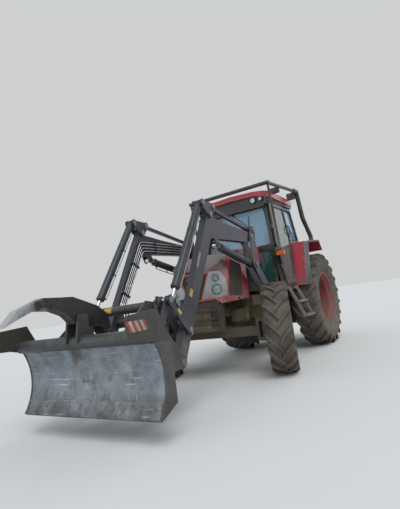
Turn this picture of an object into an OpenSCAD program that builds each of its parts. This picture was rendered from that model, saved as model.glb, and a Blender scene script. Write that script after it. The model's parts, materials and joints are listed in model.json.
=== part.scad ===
// Forestry tractor with a front loader that carries a log blade and a claw.
// Millimetres. +X is the machine's left, the front faces -Y, +Z is up, the floor is z = 0.
// Side outlines are written as [forward, height]; forward counts from a datum line across the hood,
// which stands front_axle_y in front of the front axle.

/* [Chassis] */
// Distance between the front and rear axles
wheelbase = 2300; // [2200:10:2600]
// Distance of the front axle behind the datum line
front_axle_y = 130; // [80:5:150]
// Distance between the mid planes of the front tyres
front_track = 1780; // [1740:10:1850]
// Distance between the mid planes of the rear tyres
rear_track = 1550; // [1540:10:1650]
// Half width of the engine and gearbox castings
casting_half_w = 215; // [190:5:235]
// Height of the underside of the castings
casting_z = 560; // [520:5:600]
// Angle to the left at which the front wheels stand
steer_rest = 20; // [0:1:24]

/* [Wheels] */
// Outer diameter of a front tyre over its lugs
front_tyre_d = 1160; // [1120:5:1180]
// Width of a front tyre
front_tyre_w = 330; // [310:2:340]
// Diameter of the front rim seat
front_rim_d = 610; // [560:5:660]
// Outer diameter of a rear tyre over its lugs
rear_tyre_d = 1590; // [1560:5:1620]
// Width of a rear tyre
rear_tyre_w = 430; // [400:2:440]
// Diameter of the rear rim seat
rear_rim_d = 865; // [840:5:900]
// Height of the tread lugs
lug_h = 32; // [24:1:38]
// Lugs on each side of a front tyre
front_lugs = 18; // [16:1:20]
// Lugs on each side of a rear tyre
rear_lugs = 21; // [18:1:22]

/* [Hood and cab] */
// Half width of the hood
hood_half_w = 380; // [350:5:400]
// How far the nose of the hood stands in front of the datum line
hood_nose = 360; // [340:5:400]
// Thickness of the hood's panels
hood_t = 8; // [5:1:12]
// Thickness of the cab's posts and doors
cab_t = 50; // [40:2:60]
// Half width of the cab at its floor
cab_half_w = 690; // [660:5:710]
// Lean of the cab's sides towards the middle
cab_lean = 5; // [3:0.5:6]
// Height of the cab floor
floor_z = 1080; // [1060:5:1110]
// Thickness of the window glass
glass_t = 6; // [5:1:8]
// Thickness of the roof
roof_t = 90; // [70:5:110]
// Thickness of the fender sheet
fender_t = 10; // [8:1:14]
// Diameter of the guard frame's main tubes
guard_d = 60; // [48:2:70]

/* [Loader] */
// Distance of an arm's mid plane from the middle of the machine
arm_x = 530; // [520:1:540]
// Width of an arm's box section
arm_w = 90; // [80:2:94]
// Thickness of the linkage plates
link_t = 12; // [10:1:14]
// Radius of the loader's pins
pin_r = 20; // [16:1:22]
// Clearance between a pin and its bore
pin_gap = 0.3; // [0.2:0.05:0.4]
// Side clearance between plates that move on each other
side_gap = 5; // [5:0.5:6]
// Outer radius of the lift cylinders
lift_r = 46; // [36:1:46]
// Outer radius of the tilt cylinders
tilt_r = 44; // [32:1:44]

/* [Blade and claw] */
// Half width of the blade
blade_half_w = 835; // [800:5:860]
// Thickness of the blade's sheet
blade_t = 16; // [12:1:20]
// Height of the blade's lower edge above the floor
blade_z = 215; // [180:5:240]
// Radius of the tube along the top of the blade
top_tube_r = 58; // [50:1:64]
// Width of the claw
claw_w = 90; // [80:2:100]
// Reach of the claw's tip in front of the front axle
claw_reach = 3000; // [2950:10:3040]

/* [Winch] */
// Half width of the winch housing
winch_half_w = 430; // [400:5:460]
// Half width of the rear log plate
plate_half_w = 760; // [700:10:800]
// Distance of the rear log plate behind the rear axle
plate_y = 1010; // [980:5:1040]

/* [Hidden] */
$fn = 48;

plate_t = 20;
hitch_reach = 90;
rear_y = front_axle_y + wheelbase;
rear_end = rear_y + plate_y + plate_t + hitch_reach;
// Shift that puts the middle of the machine's length at the origin
y0 = (claw_reach - rear_end) / 2;
front_r = front_tyre_d / 2;
rear_r = rear_tyre_d / 2;
kingpin_x = front_track / 2 - 175;
// Place of a rear wheel's disc, from the tyre's mid plane
rear_disc = -140;

// Loader pins as [forward, height]
A = [-385, 1845];
D = [680, 2050];
crank_rear = [-90, 105];
crank_front = [140, 125];
B = A + crank_rear;
C = D + crank_rear;
K = D + crank_front;
L = [1440, 790];
R = L + [160, 295];
T = L + [260, 320];
P1 = [1600, 510];
P2 = T + P1 - L;
G = [-430, 1450];
H = [560, 1690];
// The blade's sheet is an arc about this centre
blade_c = [2745, 532];
blade_r = 530;
claw_pivot = [2290, 1060];
claw_root = [1965, 900];
claw_foot = [1985, 400];
// Lengths by which the rods stand out of their barrels, to the eye's centre
tilt_rod_out = 165;
lift_rod_out = 110;
claw_rod_out = 110;
arm_half = arm_w / 2;
// The plates beside an arm: ears on the arm first, levers outside them
ear_x = arm_half + side_gap;
lever_x = ear_x + link_t + side_gap;
mast_x = arm_half + side_gap + 2;
eye_half = arm_half - side_gap - link_t - 2;

module at_machine() { translate([0, y0, 0]) children(); }
module pair() { children(); mirror([1, 0, 0]) children(); }
module arms() { for (s = [-1, 1]) translate([s * arm_x, 0, 0]) children(); }
// Moves to a point of the side view
module at(p) { translate([0, -p[0], p[1]]) children(); }
// A side view outline as a plate from x = x0, t thick
module side_plate(x0, t) {
    translate([x0, 0, 0]) rotate([90, 0, 90]) mirror([1, 0, 0]) linear_extrude(t) children();
}
// Two equal plates on both sides of x = 0
module side_plates(x0, t) { side_plate(x0, t) children(); side_plate(-x0 - t, t) children(); }
// Round bar along X, centred
module bar_x(p, r, half) { at(p) rotate([0, 90, 0]) cylinder(r = r, h = 2 * half, center = true); }
function dist(a, b) = norm(b - a);
function heading(a, b) = atan2(b[1] - a[1], b[0] - a[0]);
// Points of an arc about c in the side view
function arc(c, r, a0, a1, n = 8) = [for (i = [0:n]) c + r * [cos(a0 + (a1 - a0) * i / n), sin(a0 + (a1 - a0) * i / n)]];
// Straight strap of a width between two points, round at its ends
module strap(a, b, w) {
    translate(a) circle(d = w);
    translate(b) circle(d = w);
    translate(a) rotate(heading(a, b)) translate([0, -w * 0.47]) square([dist(a, b), w * 0.94]);
}
module hole(p) { translate(p) circle(r = pin_r + pin_gap); }
// Round bar from point a to point b of the side view, in the plane x = 0
module rod_between(a, b, r, from = 0, to = 0) {
    at(a) rotate([90 - heading(a, b), 0, 0]) translate([0, 0, from])
        cylinder(r = r, h = dist(a, b) - from - to);
}

// Chassis
axle_pin_z = front_r + 65;
gearbox_y = 900;
gearbox_top = casting_z + 460;
fender_x = 530;
module chassis() at_machine() color("dimgray") {
    // front support over the axle, with the lugs of the axle's pivot
    translate([-casting_half_w + 5, 40 - hood_nose, 800]) cube([2 * casting_half_w - 10, hood_nose + 5, 160]);
    difference() {
        translate([-casting_half_w + 5, -hood_nose - 20, 640]) cube([2 * casting_half_w - 10, 60, 300]);
        for (x = [-100, 100], z = [700, 860]) translate([x, -hood_nose - 21, z]) rotate([-90, 0, 0]) cylinder(r = 9, h = 62);
    }
    for (y = [front_axle_y - 140, front_axle_y + 85]) difference() {
        translate([-70, y, axle_pin_z - 60]) cube([140, 55, 890 - axle_pin_z]);
        translate([0, y - 1, axle_pin_z]) rotate([-90, 0, 0]) cylinder(r = 40, h = 57);
    }
    // side rails between the front support and the gearbox
    pair() translate([casting_half_w - 25, -150, 790]) cube([20, gearbox_y + 150, 110]);
    translate([-casting_half_w + 5, front_axle_y + 85, 790]) cube([2 * casting_half_w - 10, 55, 40]);
    // gearbox and rear axle
    translate([-casting_half_w, gearbox_y, casting_z]) cube([2 * casting_half_w, rear_y + 200 - gearbox_y, 460]);
    translate([-casting_half_w - 60, rear_y - 230, casting_z + 60]) cube([2 * casting_half_w + 120, 460, 420]);
    translate([0, rear_y, rear_r]) rotate([0, 90, 0]) cylinder(r = 130, h = 2 * (rear_track / 2 - 330), center = true);
    translate([0, rear_y, rear_r]) rotate([0, 90, 0])
        cylinder(r = 85, h = 2 * (rear_track / 2 + rear_disc - 0.3), center = true);
    // boxes and filters beside the engine
    pair() {
        translate([casting_half_w - 10, 180, 700]) cube([100, 230, 150]);
        translate([casting_half_w + 40, 520, 690]) cylinder(r = 55, h = 190);
        translate([casting_half_w - 12, 490, 790]) cube([60, 60, 50]);
    }
    // brackets that carry the loader masts
    pair() translate([casting_half_w - 25, 770, 690]) cube([arm_x - mast_x - link_t - casting_half_w + 25, 130, 180]);
    // cab mounts
    for (x = [-420, 340], y = [1250, 2150]) translate([x, y, floor_z - 120]) cube([80, 100, 120]);
    for (y = [1250, 2150]) translate([-420, y, floor_z - 160]) cube([840, 100, 80]);
    // drawbar plates under the gearbox
    translate([-40, 1500, casting_z - 60]) cube([80, rear_y - 1150, 40]);
    for (y = [1500, rear_y + 60]) translate([-40, y, casting_z - 20]) cube([80, 100, 20]);
}
// Black cover under the hood's nose, seated on the front support
module nose_cover() at_machine() color("black") translate([0, -hood_nose, 0]) {
    translate([-335, -5, 960.3]) cube([670, 120, 6]);
    translate([-335, -12, 941]) cube([670, 8, 85]);
    // bars across the front, clear of the bolt holes of the support
    for (z = [655, 745, 795, 900]) translate([-335, -34, z]) cube([670, 13.7, 22]);
    pair() {
        translate([325, -34, 640]) cube([10, 149, 339]);
        translate([214, -10, 640]) cube([115, 6, 300]);
    }
}
module engine_block() at_machine() color("gray") {
    translate([-185, 145, 835]) cube([370, gearbox_y - 145, 440]);
    translate([-150, 290, 640]) cube([300, gearbox_y - 290, 196]);
}

module front_axle() translate([0, y0 + front_axle_y, 0]) color("dimgray") {
    beam_z = front_r - 20;
    translate([-kingpin_x + 75, -70, beam_z - 55]) cube([2 * kingpin_x - 150, 140, 115]);
    translate([0, -82, axle_pin_z]) rotate([-90, 0, 0]) cylinder(r = 75, h = 164);
    translate([0, -145, axle_pin_z]) rotate([-90, 0, 0]) cylinder(r = 40, h = 290);
    // forks at the kingpins
    pair() for (z = [front_r - 150, front_r + 105]) difference() {
        translate([kingpin_x - 110, -60, z]) cube([165, 120, 45]);
        translate([kingpin_x, 0, z - 1]) cylinder(r = 22 + pin_gap, h = 47);
    }
    pair() translate([kingpin_x - 110, -60, front_r - 150]) cube([40, 120, 300]);
}
// Knuckle of the left wheel, drawn straight ahead about its kingpin
module knuckle() {
    translate([0, 0, -152]) cylinder(r = 22, h = 304);
    translate([0, 0, -104]) cylinder(r = 55, h = 208);
    rotate([0, 90, 0]) cylinder(r = 48, h = 174.7);
    translate([150, 0, 0]) rotate([0, 90, 0]) cylinder(r = 110, h = 24.7);
}
module steered(side) translate([side * kingpin_x, y0 + front_axle_y, front_r]) rotate([0, 0, steer_rest]) children();
module knuckle_l() color("dimgray") steered(1) knuckle();
module knuckle_r() color("dimgray") steered(-1) mirror([1, 0, 0]) knuckle();

// Tyres: a revolved carcass with bars joined to it
module carcass(r, w, rim, h) {
    rotate([0, 90, 0]) rotate_extrude($fn = 96) polygon(concat(
        [[rim / 2, -w * 0.37], [rim / 2 + 30, -w * 0.385]],
        arc([r - h - w * 0.36, -w * 0.14], w * 0.36, -90, 0, 4),
        arc([r - h - w * 0.36, w * 0.14], w * 0.36, 0, 90, 4),
        [[rim / 2 + 30, w * 0.385], [rim / 2, w * 0.37]]));
}
module lugs(r, w, h, count) {
    intersection() {
        rotate([0, 90, 0]) rotate_extrude($fn = 96) polygon([
            [r - h * 2.6, -w / 2], [r - h * 1.1, -w / 2], [r, -w * 0.40], [r, w * 0.40],
            [r - h * 1.1, w / 2], [r - h * 2.6, w / 2]]);
        for (i = [0:count - 1], s = [-1, 1])
            rotate([360 * (i + s * 0.25) / count, 0, 0])
                translate([s * w * 0.26, 0, r - h * 1.6]) rotate([0, 0, s * 45])
                    translate([-w * 0.38, -w * 0.06, 0]) cube([w * 0.76, w * 0.12, h * 2]);
    }
}
module tyre(r, w, rim, count) color("dimgray") { carcass(r, w, rim, lug_h); lugs(r, w, lug_h, count); }
// Rim with its disc, for a wheel whose outer face is towards +X; face is where the hub bolts on
module rim(d, w, face) color("firebrick") difference() {
    union() {
        rotate([0, 90, 0]) rotate_extrude($fn = 60) polygon([
            [d / 2 - 0.3, -w * 0.38], [d / 2 - 0.3, w * 0.38], [d / 2 + 20, w * 0.395], [d / 2 + 20, w * 0.42],
            [d / 2 - 25, w * 0.40], [d / 2 - 25, face + 90], [d / 2 - 70, face + 14], [0, face + 14],
            [0, face], [d / 2 - 60, face], [d / 2 - 40, face + 60], [d / 2 - 25, -w * 0.40],
            [d / 2 + 20, -w * 0.42], [d / 2 + 20, -w * 0.395]]);
        translate([face + 14, 0, 0]) rotate([0, 90, 0]) cylinder(r = 80, h = 60);
    }
    for (i = [0:7]) rotate([45 * i, 0, 0]) translate([face - 5, 0, d * 0.30]) rotate([0, 90, 0]) cylinder(r = d * 0.04, h = 80);
}
module front_wheel(side) steered(side) mirror([side < 0 ? 1 : 0, 0, 0]) translate([175, 0, 0]) children();
module rear_wheel(side) mirror([side < 0 ? 1 : 0, 0, 0]) translate([rear_track / 2, rear_y + y0, rear_r]) children();
module wheel_fl() front_wheel(1) tyre(front_r, front_tyre_w, front_rim_d, front_lugs);
module wheel_fr() front_wheel(-1) tyre(front_r, front_tyre_w, front_rim_d, front_lugs);
module wheel_rl() rear_wheel(1) tyre(rear_r, rear_tyre_w, rear_rim_d, rear_lugs);
module wheel_rr() rear_wheel(-1) tyre(rear_r, rear_tyre_w, rear_rim_d, rear_lugs);
module rim_fl() front_wheel(1) rim(front_rim_d, front_tyre_w, 0);
module rim_fr() front_wheel(-1) rim(front_rim_d, front_tyre_w, 0);
module rim_rl() rear_wheel(1) rim(rear_rim_d, rear_tyre_w, rear_disc);
module rim_rr() rear_wheel(-1) rim(rear_rim_d, rear_tyre_w, rear_disc);

// Hood
hood_hinge = [-1118, 1748];
hood_top = [[hood_nose, 1400], [hood_nose - 25, 1455], [80, 1648], [-700, 1735], [-1100, 1760]];
hood_low = [[-1100, 1500], [-510, 1480], [-465, 1000], [290, 985], [330, 1035], [hood_nose, 1038]];
module hood() at_machine() color("firebrick") {
    hood_shell();
    pair() {
        bar_hinge = 212;
        translate([bar_hinge, -hood_hinge[0], hood_hinge[1]]) rotate([0, 90, 0]) cylinder(r = 12, h = 12);
        translate([bar_hinge, 1070, 1742]) cube([12, 46, 11]);
        translate([bar_hinge - 13, -hood_hinge[0], hood_hinge[1]]) rotate([0, 90, 0]) cylinder(r = 8, h = 38);
    }
}
module hood_shell() difference() {
    intersection() {
        side_plate(-hood_half_w, 2 * hood_half_w) polygon(concat(hood_top, hood_low));
        hood_plan(0);
    }
    intersection() {
        side_plate(-hood_half_w + hood_t, 2 * (hood_half_w - hood_t)) polygon([
            [hood_nose + 50, 1398], [hood_nose - 31, 1449], [77, 1648 - hood_t - 1],
            [-700, 1735 - hood_t], [-1110, 1760 - hood_t], [-1110, 800], [hood_nose + 50, 800]]);
        hood_plan(-hood_t);
    }
    // mouth of the grille
    translate([0, 60 - hood_nose, 0]) rotate([90, 0, 0]) linear_extrude(90)
        polygon([[-85, 1062], [85, 1062], [222, 1385], [-222, 1385]]);
    // side meshes
    pair() side_plate(hood_half_w - 20, 40) polygon(side_mouth);
    // holes of the headlights
    for (lamp = headlight) headlight(lamp[0], lamp[1] + 2, 100, 200);
}
// Room inside the hood's rounded nose, grown by a distance
module hood_plan(grow) translate([0, 0, 700]) linear_extrude(1200) {
    nose = [for (a = [0:-16:-80]) [230 + (150 + grow) * cos(a), -(hood_nose - 160) + (150 + grow) * sin(a)]];
    polygon(concat([[hood_half_w + grow, 1200]], nose, [[0, -hood_nose - grow]],
        [for (i = [len(nose) - 1:-1:0]) [-nose[i][0], nose[i][1]]], [[-hood_half_w - grow, 1200]]));
}
side_mouth = [[118, 1066], [-262, 1042], [-296, 1078], [-342, 1430], [-326, 1492], [-64, 1564], [-18, 1548], [70, 1300], [128, 1112]];
// Height and radius of the two lamps in each corner of the nose
headlight = [[1172, 62], [1315, 43]];
module headlight(z, r, from, to) pair() translate([230, -(hood_nose - 160), z]) rotate([0, 0, -52])
    rotate([0, 90, 0]) translate([0, 0, from]) cylinder(r = r, h = to - from);
module headlights() at_machine() color("silver") {
    pair() intersection() {
        difference() {
            hood_plan(4);
            hood_plan(0);
        }
        side_plate(90, 330) polygon([[460, 1058], [165, 1075], [165, 1300], [262, 1398], [460, 1412]]);
        rotate([90, 0, 0]) linear_extrude(900) polygon([[98, 1050], [420, 1050], [420, 1415], [262, 1415]]);
    }
    for (lamp = headlight) headlight(lamp[0], lamp[1], 122, 159);
}
module grille() at_machine() color("black") {
    translate([-240, 19.8 - hood_nose, 1050]) cube([480, 12, 350]);
    for (i = [0:6]) translate([-78 - 18 * i, 8 - hood_nose, 1080 + 45 * i]) cube([156 + 36 * i, 14, 14]);
    pair() translate([hood_half_w - hood_t - 7, -140, 1022]) cube([7, 500, 558]);
}

// Cab
fender_front = [-1630, 1070];
fender_corner = [-1890, 1800];
fender_back = [-2900, 1860];
fender_end = [-3020, 1690];
gap = 10;
side_outline = [[-1170, floor_z], [-1120, 1770], [-1230, 2500], [-2390, 2500], [-2430, fender_corner[1] + 42],
    fender_corner + [12, 18], [fender_front[0] + 12, floor_z]];
side_window = [[-1235, 1200], [-1185, 1770], [-1290, 2440], [-1850, 2440], [-1855, 1840], [-1625, 1200]];
rear_side_window = [[-1930, 1880], [-1925, 2440], [-2330, 2440], [-2365, 1890]];
module leaning(x0 = 0) translate([cab_half_w + x0, y0, floor_z]) rotate([0, -cab_lean, 0]) translate([0, 0, -floor_z]) children();
module cab_side() difference() {
    leaning() side_plate(-cab_t, cab_t) polygon(side_outline);
    leaning() side_plate(-cab_t - 1, cab_t + 2) polygon(side_window);
    leaning() side_plate(-cab_t - 1, cab_t + 2) polygon(rear_side_window);
}
// One side of the cab with its posts, the ears of the door's hinges and the arm of the turn lamp
module cab_side_l() color("black") {
    cab_side();
    leaning() for (z = door_hinge_z, dz = [-34, 22]) difference() {
        side_plate(0, door_u + 14) translate([door_f - 14, z + dz]) square([28, 12]);
        translate([door_u, -door_f, z + dz - 1]) cylinder(r = 8.3, h = 14);
    }
    at_machine() translate([600, 1102, 1590]) cube([65, 38, 26]);
}
module cab_side_r() mirror([1, 0, 0]) cab_side_l();
// Room of the cab's sides with the seam where other panels meet them
module between_sides() difference() {
    children();
    pair() leaning() side_plate(-cab_t - 0.3, cab_t + 0.6) polygon(side_outline);
}
module cab_frame() color("black") {
    // ears of the hood's hinge
    at_machine() for (x = [-236, -212, 200, 224]) difference() {
        side_plate(x, 12) polygon([[-1176, 1700], [-1176, 1764], [-1124, 1763], [-1109, 1757], [-1104, 1734]]);
        bar_x(hood_hinge, 8.3, 300);
    }
    between_sides() at_machine() {
        // floor, front wall and rear wall
        translate([-fender_x, 1175, floor_z]) cube([2 * fender_x, 1255, 30]);
        translate([-cab_half_w + cab_t + 1, 1175, floor_z]) cube([2 * (cab_half_w - cab_t - 1), 440, 30]);
        difference() {
            translate([-590, 1175, floor_z]) cube([1180, 20, 690]);
            pair() translate([300, 1170, 1160]) cube([258, 30, 525]);
        }
        translate([-fender_x, 2400, floor_z]) cube([2 * fender_x, 30, 790]);
    }
}
// Ceiling of the cab, and the header over the windscreen
module cab_top() color("black") between_sides() at_machine() {
    translate([-560, 1227.3, 2440]) cube([1120, 1192.7, 60]);
    translate([-590, 1227.3, 2499]) cube([1180, 1192.7, 50]);
    translate([0, 1227, 0]) rotate([90, 0, 0]) linear_extrude(62) polygon([
        [-545, 2405], [545, 2405], [590, 2549], [400, 2597], [0, 2604], [-400, 2597], [-590, 2549]]);
}
// Half width between the cab's sides at a height
function cab_in(z) = cab_half_w - cab_t / cos(cab_lean) - (z - floor_z) * tan(cab_lean);
module pane(z0, z1) rotate([90, 0, 0]) linear_extrude(glass_t)
    polygon([[-cab_in(z0) + 1, 0], [cab_in(z0) - 1, 0], [cab_in(z1) - 1, z1 - z0], [1 - cab_in(z1), z1 - z0]]);
module cab_glass() color("lightblue") {
    at_machine() {
        translate([0, 1190 + glass_t, 1770]) rotate([-3.5, 0, 0]) pane(1770, 2438);
        translate([0, 2415 + glass_t, 1870]) pane(1870, 2439);
        pair() translate([300, 1182, 1160]) cube([258, glass_t, 525]);
    }
    pair() leaning() side_plate(-cab_t / 2 - glass_t / 2, glass_t) polygon(rear_side_window);
}
module roof() at_machine() color("firebrick")
    intersection() {
        translate([0, 2440, 0]) rotate([90, 0, 0]) linear_extrude(1330) polygon([
            [-600, 2549.3], [-400, 2597.3], [0, 2604.3], [400, 2597.3], [600, 2549.3], [640, 2545],
            [655, 2590], [640, 2550 + roof_t], [400, 2582 + roof_t], [0, 2592 + roof_t], [-400, 2582 + roof_t],
            [-640, 2550 + roof_t], [-655, 2590], [-640, 2545]]);
        translate([0, 0, 2500]) linear_extrude(300) polygon(concat(
            [for (a = [0:-15:-75]) [515 + 140 * cos(a), 1275 + 140 * sin(a)]], [[0, 1112]],
            [for (a = [-75:15:0]) [-515 - 140 * cos(a), 1275 + 140 * sin(a)]], [[-600, 2440], [600, 2440]]));
    }
door_outline = [[-1195, 1120], [-1150, 1770], [-1255, 2470], [-1880, 2470], [-1878, 1860], [fender_front[0] + 28, 1120]];
door_window = [[-1265, 1200], [-1220, 1770], [-1315, 2410], [-1830, 2410], [-1828, 1870], [-1585, 1200]];
door_u = gap + 15;
door_f = -1146;
door_hinge_z = [1400, 2050];
module door_l() color("black") {
    leaning() side_plate(gap, 30) difference() {
        polygon(door_outline);
        polygon(door_window);
    }
    // hinge pins that turn in the ears of the cab
    leaning() for (z = door_hinge_z) {
        translate([door_u, -door_f, z - 36]) cylinder(r = 8, h = 72);
        translate([door_u, -door_f, z - 20]) cylinder(r = 14, h = 40);
        side_plate(gap, 30) translate([door_f - 60, z - 20]) square([60, 40]);
    }
}
module door_r() mirror([1, 0, 0]) door_l();
module door_glass_l() color("lightblue") leaning() side_plate(gap + 12, glass_t) polygon(door_window);
module door_glass_r() mirror([1, 0, 0]) door_glass_l();
module interior() at_machine() color("darkslategray") {
    translate([-240, 1820, floor_z + 30]) cube([480, 420, 380]);
    translate([-240, 2150, floor_z + 410]) cube([480, 90, 540]);
    translate([-200, 1250, floor_z + 30]) cube([400, 200, 540]);
    // steering column and wheel
    translate([0, 1440, 1560]) rotate([-30, 0, 0]) {
        cylinder(r = 32, h = 250);
        difference() {
            translate([0, 0, 240]) cylinder(r = 195, h = 22);
            translate([0, 0, 239]) cylinder(r = 168, h = 24);
        }
        translate([-181, -14, 245]) cube([362, 28, 12]);
        translate([-12, -180, 246]) cube([24, 180, 10]);
    }
}
function fender_top(y) = fender_corner[1] + (y + fender_corner[0]) * (fender_back[1] - fender_corner[1]) / (fender_corner[0] - fender_back[0]);
fender_out = 870;
module fender_l() at_machine() color("firebrick") {
    side_plate(fender_x, fender_out - fender_x) polygon([fender_front, fender_corner, fender_back,
        fender_end, fender_end + [7, -8], fender_back + [4, -11], fender_corner + [-8, -11], fender_front + [-10, -4]]);
    side_plate(fender_x, fender_t) polygon([fender_front, fender_corner, fender_back, fender_end, [-2960, 1200]]);
}
module fender_r() mirror([1, 0, 0]) fender_l();
// Rubber strips bolted under the outer edges of the fenders
module fender_edges() at_machine() color("black") pair() side_plate(fender_out - 30, 100) polygon([
    fender_front + [-10, -4], fender_corner + [-8, -11], [-2600, fender_top(2600) - 11], [-2600, fender_top(2600) - 21],
    fender_corner + [-16, -21], fender_front + [-20, -6]]);
module steps() at_machine() color("gray") pair() {
    // a ladder of two rungs that hangs outwards from two brackets
    for (y = [1195, 1550]) {
        side_rail = [[705, 1070], [745, 1070], [935, 590], [895, 590]];
        translate([0, y + 25, 0]) rotate([90, 0, 0]) linear_extrude(25) polygon(side_rail);
        translate([560, y, 1030]) cube([175, 25, 44]);
        translate([560, y, 1030]) cube([75, 25, 49.7]);
    }
    for (rung = [[870, 595], [785, 815]]) translate([rung[0], 1200, rung[1]]) cube([90, 370, 24]);
}
module work_lamps() at_machine() color("silver") pair() {
    for (lamp = [[385, 46], [515, 34]]) translate([lamp[0], 1164.7, 2530]) rotate([90, 0, 0]) cylinder(r = lamp[1], h = 24);
    translate([430, 2442, 2470]) rotate([90, 0, 0]) cylinder(r = 27, h = 21.7);
    // turn lamps on the cab's corners, rear lamps under the fenders
    translate([665, 1078, 1568]) cube([120, 40, 72]);
    translate([fender_x + fender_t, 2930, 1560]) cube([110, 55, 70]);
}
// Round tube between two points, run on a little past its ends into the next one
module tube(a, b, r) {
    v = b - a;
    over = r * 0.4;
    translate(a) rotate([0, acos(v[2] / norm(v)), atan2(v[1], v[0])]) translate([0, 0, -over])
        cylinder(r = r, h = norm(v) + 2 * over);
}
module guard_frame() at_machine() color("darkslategray") {
    g = guard_d / 2;
    legs = [[718, 1032, 2722], [740, 2400, 2790], [750, 2490, 2290], [750, 2810, 1970], [750, 2812, 1885]];
    translate([0, 1032, 2724]) rotate([0, 90, 0]) cylinder(r = g, h = 1490, center = true);
    pair() {
        // neighbouring tubes differ a little in size where they are welded
        for (i = [0:3]) tube(legs[i], legs[i + 1], i == 0 ? g - 1.5 : g + 9 + (i % 2));
        side_plate(700, 100) polygon([[-2760, fender_top(2760) + 0.3], [-2860, fender_top(2860) + 0.3], [-2860, 1885], [-2760, 1885]]);
        tube([722, 1033, 2720], [725, 1115, 1685], 18);
        translate([640, 1120, 1655]) cube([105, 12, 50]);
        for (row = [[1500, 90], [2300, 120]]) translate([575, row[0], 2559.5 + roof_t]) cube([150, 40, row[1]]);
    }
}
module exhaust() at_machine() color("dimgray") {
    translate([-560, 1020, 1400]) cylinder(r = 40, h = 1000);
    translate([-575, 1020, 1480]) cube([30, 155, 40]);
}

// Loader
module masts() at_machine() color("midnightblue") arms() {
    difference() {
        side_plates(mast_x, link_t) polygon([[-420, 2000], [-530, 2000], [-545, 1930], [-510, 1800], [-520, 1420],
            [-900, 1000], [-900, 700], [-760, 700], [-700, 1000], [-400, 1340], [-330, 1450], [-320, 1830]]);
        for (p = [A, B, G]) bar_x(p, pin_r + pin_gap, 100);
    }
    for (p = [A, B, G]) bar_x(p, pin_r, mast_x + link_t + 6);
    translate([-mast_x, 760, 700]) cube([2 * mast_x, 140, 20]);
}
module booms() at_machine() color("midnightblue") {
    arms() difference() {
        side_plate(-arm_half, arm_w) difference() {
            union() {
                translate(A) circle(r = 65);
                polygon([[-385, 1904], [270, 1970], [640, 2020], [740, 2030], [800, 1940], [1647, 539],
                    [1553, 481], [724, 1760], [480, 1762], [-290, 1762], [-385, 1786]]);
                translate(D) circle(r = 55);
                translate(P1) circle(r = 62);
                strap(H + [60, 120], H, 90);
            }
            for (p = [A, D, L, P1, H]) hole(p);
        }
        // slot for the eye of the lift rod
        at(H) cube([2 * eye_half + 2 * side_gap, 140, 140], center = true);
    }
    // tube that ties the arms together above the tool
    translate([0, -1290, 930]) rotate([0, 90, 0]) cylinder(r = 60, h = 2 * (arm_x - arm_half), center = true);
}
module level_rods() at_machine() color("midnightblue") arms() difference() {
    union() {
        side_plate(-20, 40) strap(B, C, 40);
        bar_x(B, 34, 20);
        bar_x(C, 34, 20);
    }
    for (p = [B, C]) bar_x(p, pin_r + pin_gap, 30);
}
module cranks() at_machine() color("midnightblue") arms() {
    difference() {
        side_plates(ear_x, link_t) difference() {
            union() {
                strap(D, C, 90);
                strap(D, K, 90);
                strap(C, K, 70);
            }
            hole(K);
        }
    }
    bar_x(D, pin_r, ear_x + link_t + 4);
    bar_x(C, pin_r, ear_x + link_t + 4);
}
module crank_pins() at_machine() color("silver") arms() bar_x(K, pin_r, ear_x + link_t + 4);
module tilt_barrels() at_machine() color("midnightblue") arms() difference() {
    union() {
        rod_between(K, R, tilt_r, 30, tilt_rod_out);
        bar_x(K, 40, 32);
    }
    bar_x(K, pin_r + pin_gap, 50);
    rod_between(K, R, 18.3, 100, tilt_rod_out - 10);
}
module tilt_rods() at_machine() color("silver") arms() difference() {
    union() {
        rod_between(K, R, 18, 660, 24);
        bar_x(R, 38, 25);
    }
    bar_x(R, pin_r + pin_gap, 50);
}
module lift_barrels() at_machine() color("midnightblue") arms() difference() {
    union() {
        rod_between(G, H, lift_r, 30, lift_rod_out);
        bar_x(G, 44, 32);
    }
    bar_x(G, pin_r + pin_gap, 50);
    rod_between(G, H, 22.3, 80, lift_rod_out - 10);
}
module lift_rods() at_machine() color("silver") arms() difference() {
    union() {
        rod_between(G, H, 22, 450, 24);
        bar_x(H, 40, eye_half);
    }
    bar_x(H, pin_r + pin_gap, 50);
}
module lever_pins() at_machine() color("silver") arms() bar_x(L, pin_r, lever_x + link_t + 4);
module levers() at_machine() color("midnightblue") arms() {
    side_plates(lever_x, link_t) difference() {
        union() {
            strap(L, T, 90);
            strap(L, R, 80);
        }
        for (p = [L, T]) hole(p);
    }
    // the rod's pin sits in both plates and stops short of the rod's eye
    for (s = [-1, 1]) translate([s * (lever_x + link_t / 2), 0, 0]) bar_x(R, pin_r, link_t / 2 + 4);
}
module link_pins() at_machine() color("silver") arms() bar_x(T, pin_r, lever_x + link_t + 4);
module links() at_machine() color("midnightblue") arms() side_plates(eye_half + 2, link_t) difference() {
    strap(T, P2, 80);
    for (p = [T, P2]) hole(p);
}
// Beam across the arms, with the pins on which the blade's frame turns
module tool_pins() at_machine() color("dimgray") {
    bar_x(P1, pin_r, arm_x + ear_x + link_t + 2);
    at(P1) cube([2 * (arm_x - lever_x), 180, 140], center = true);
}
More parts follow.
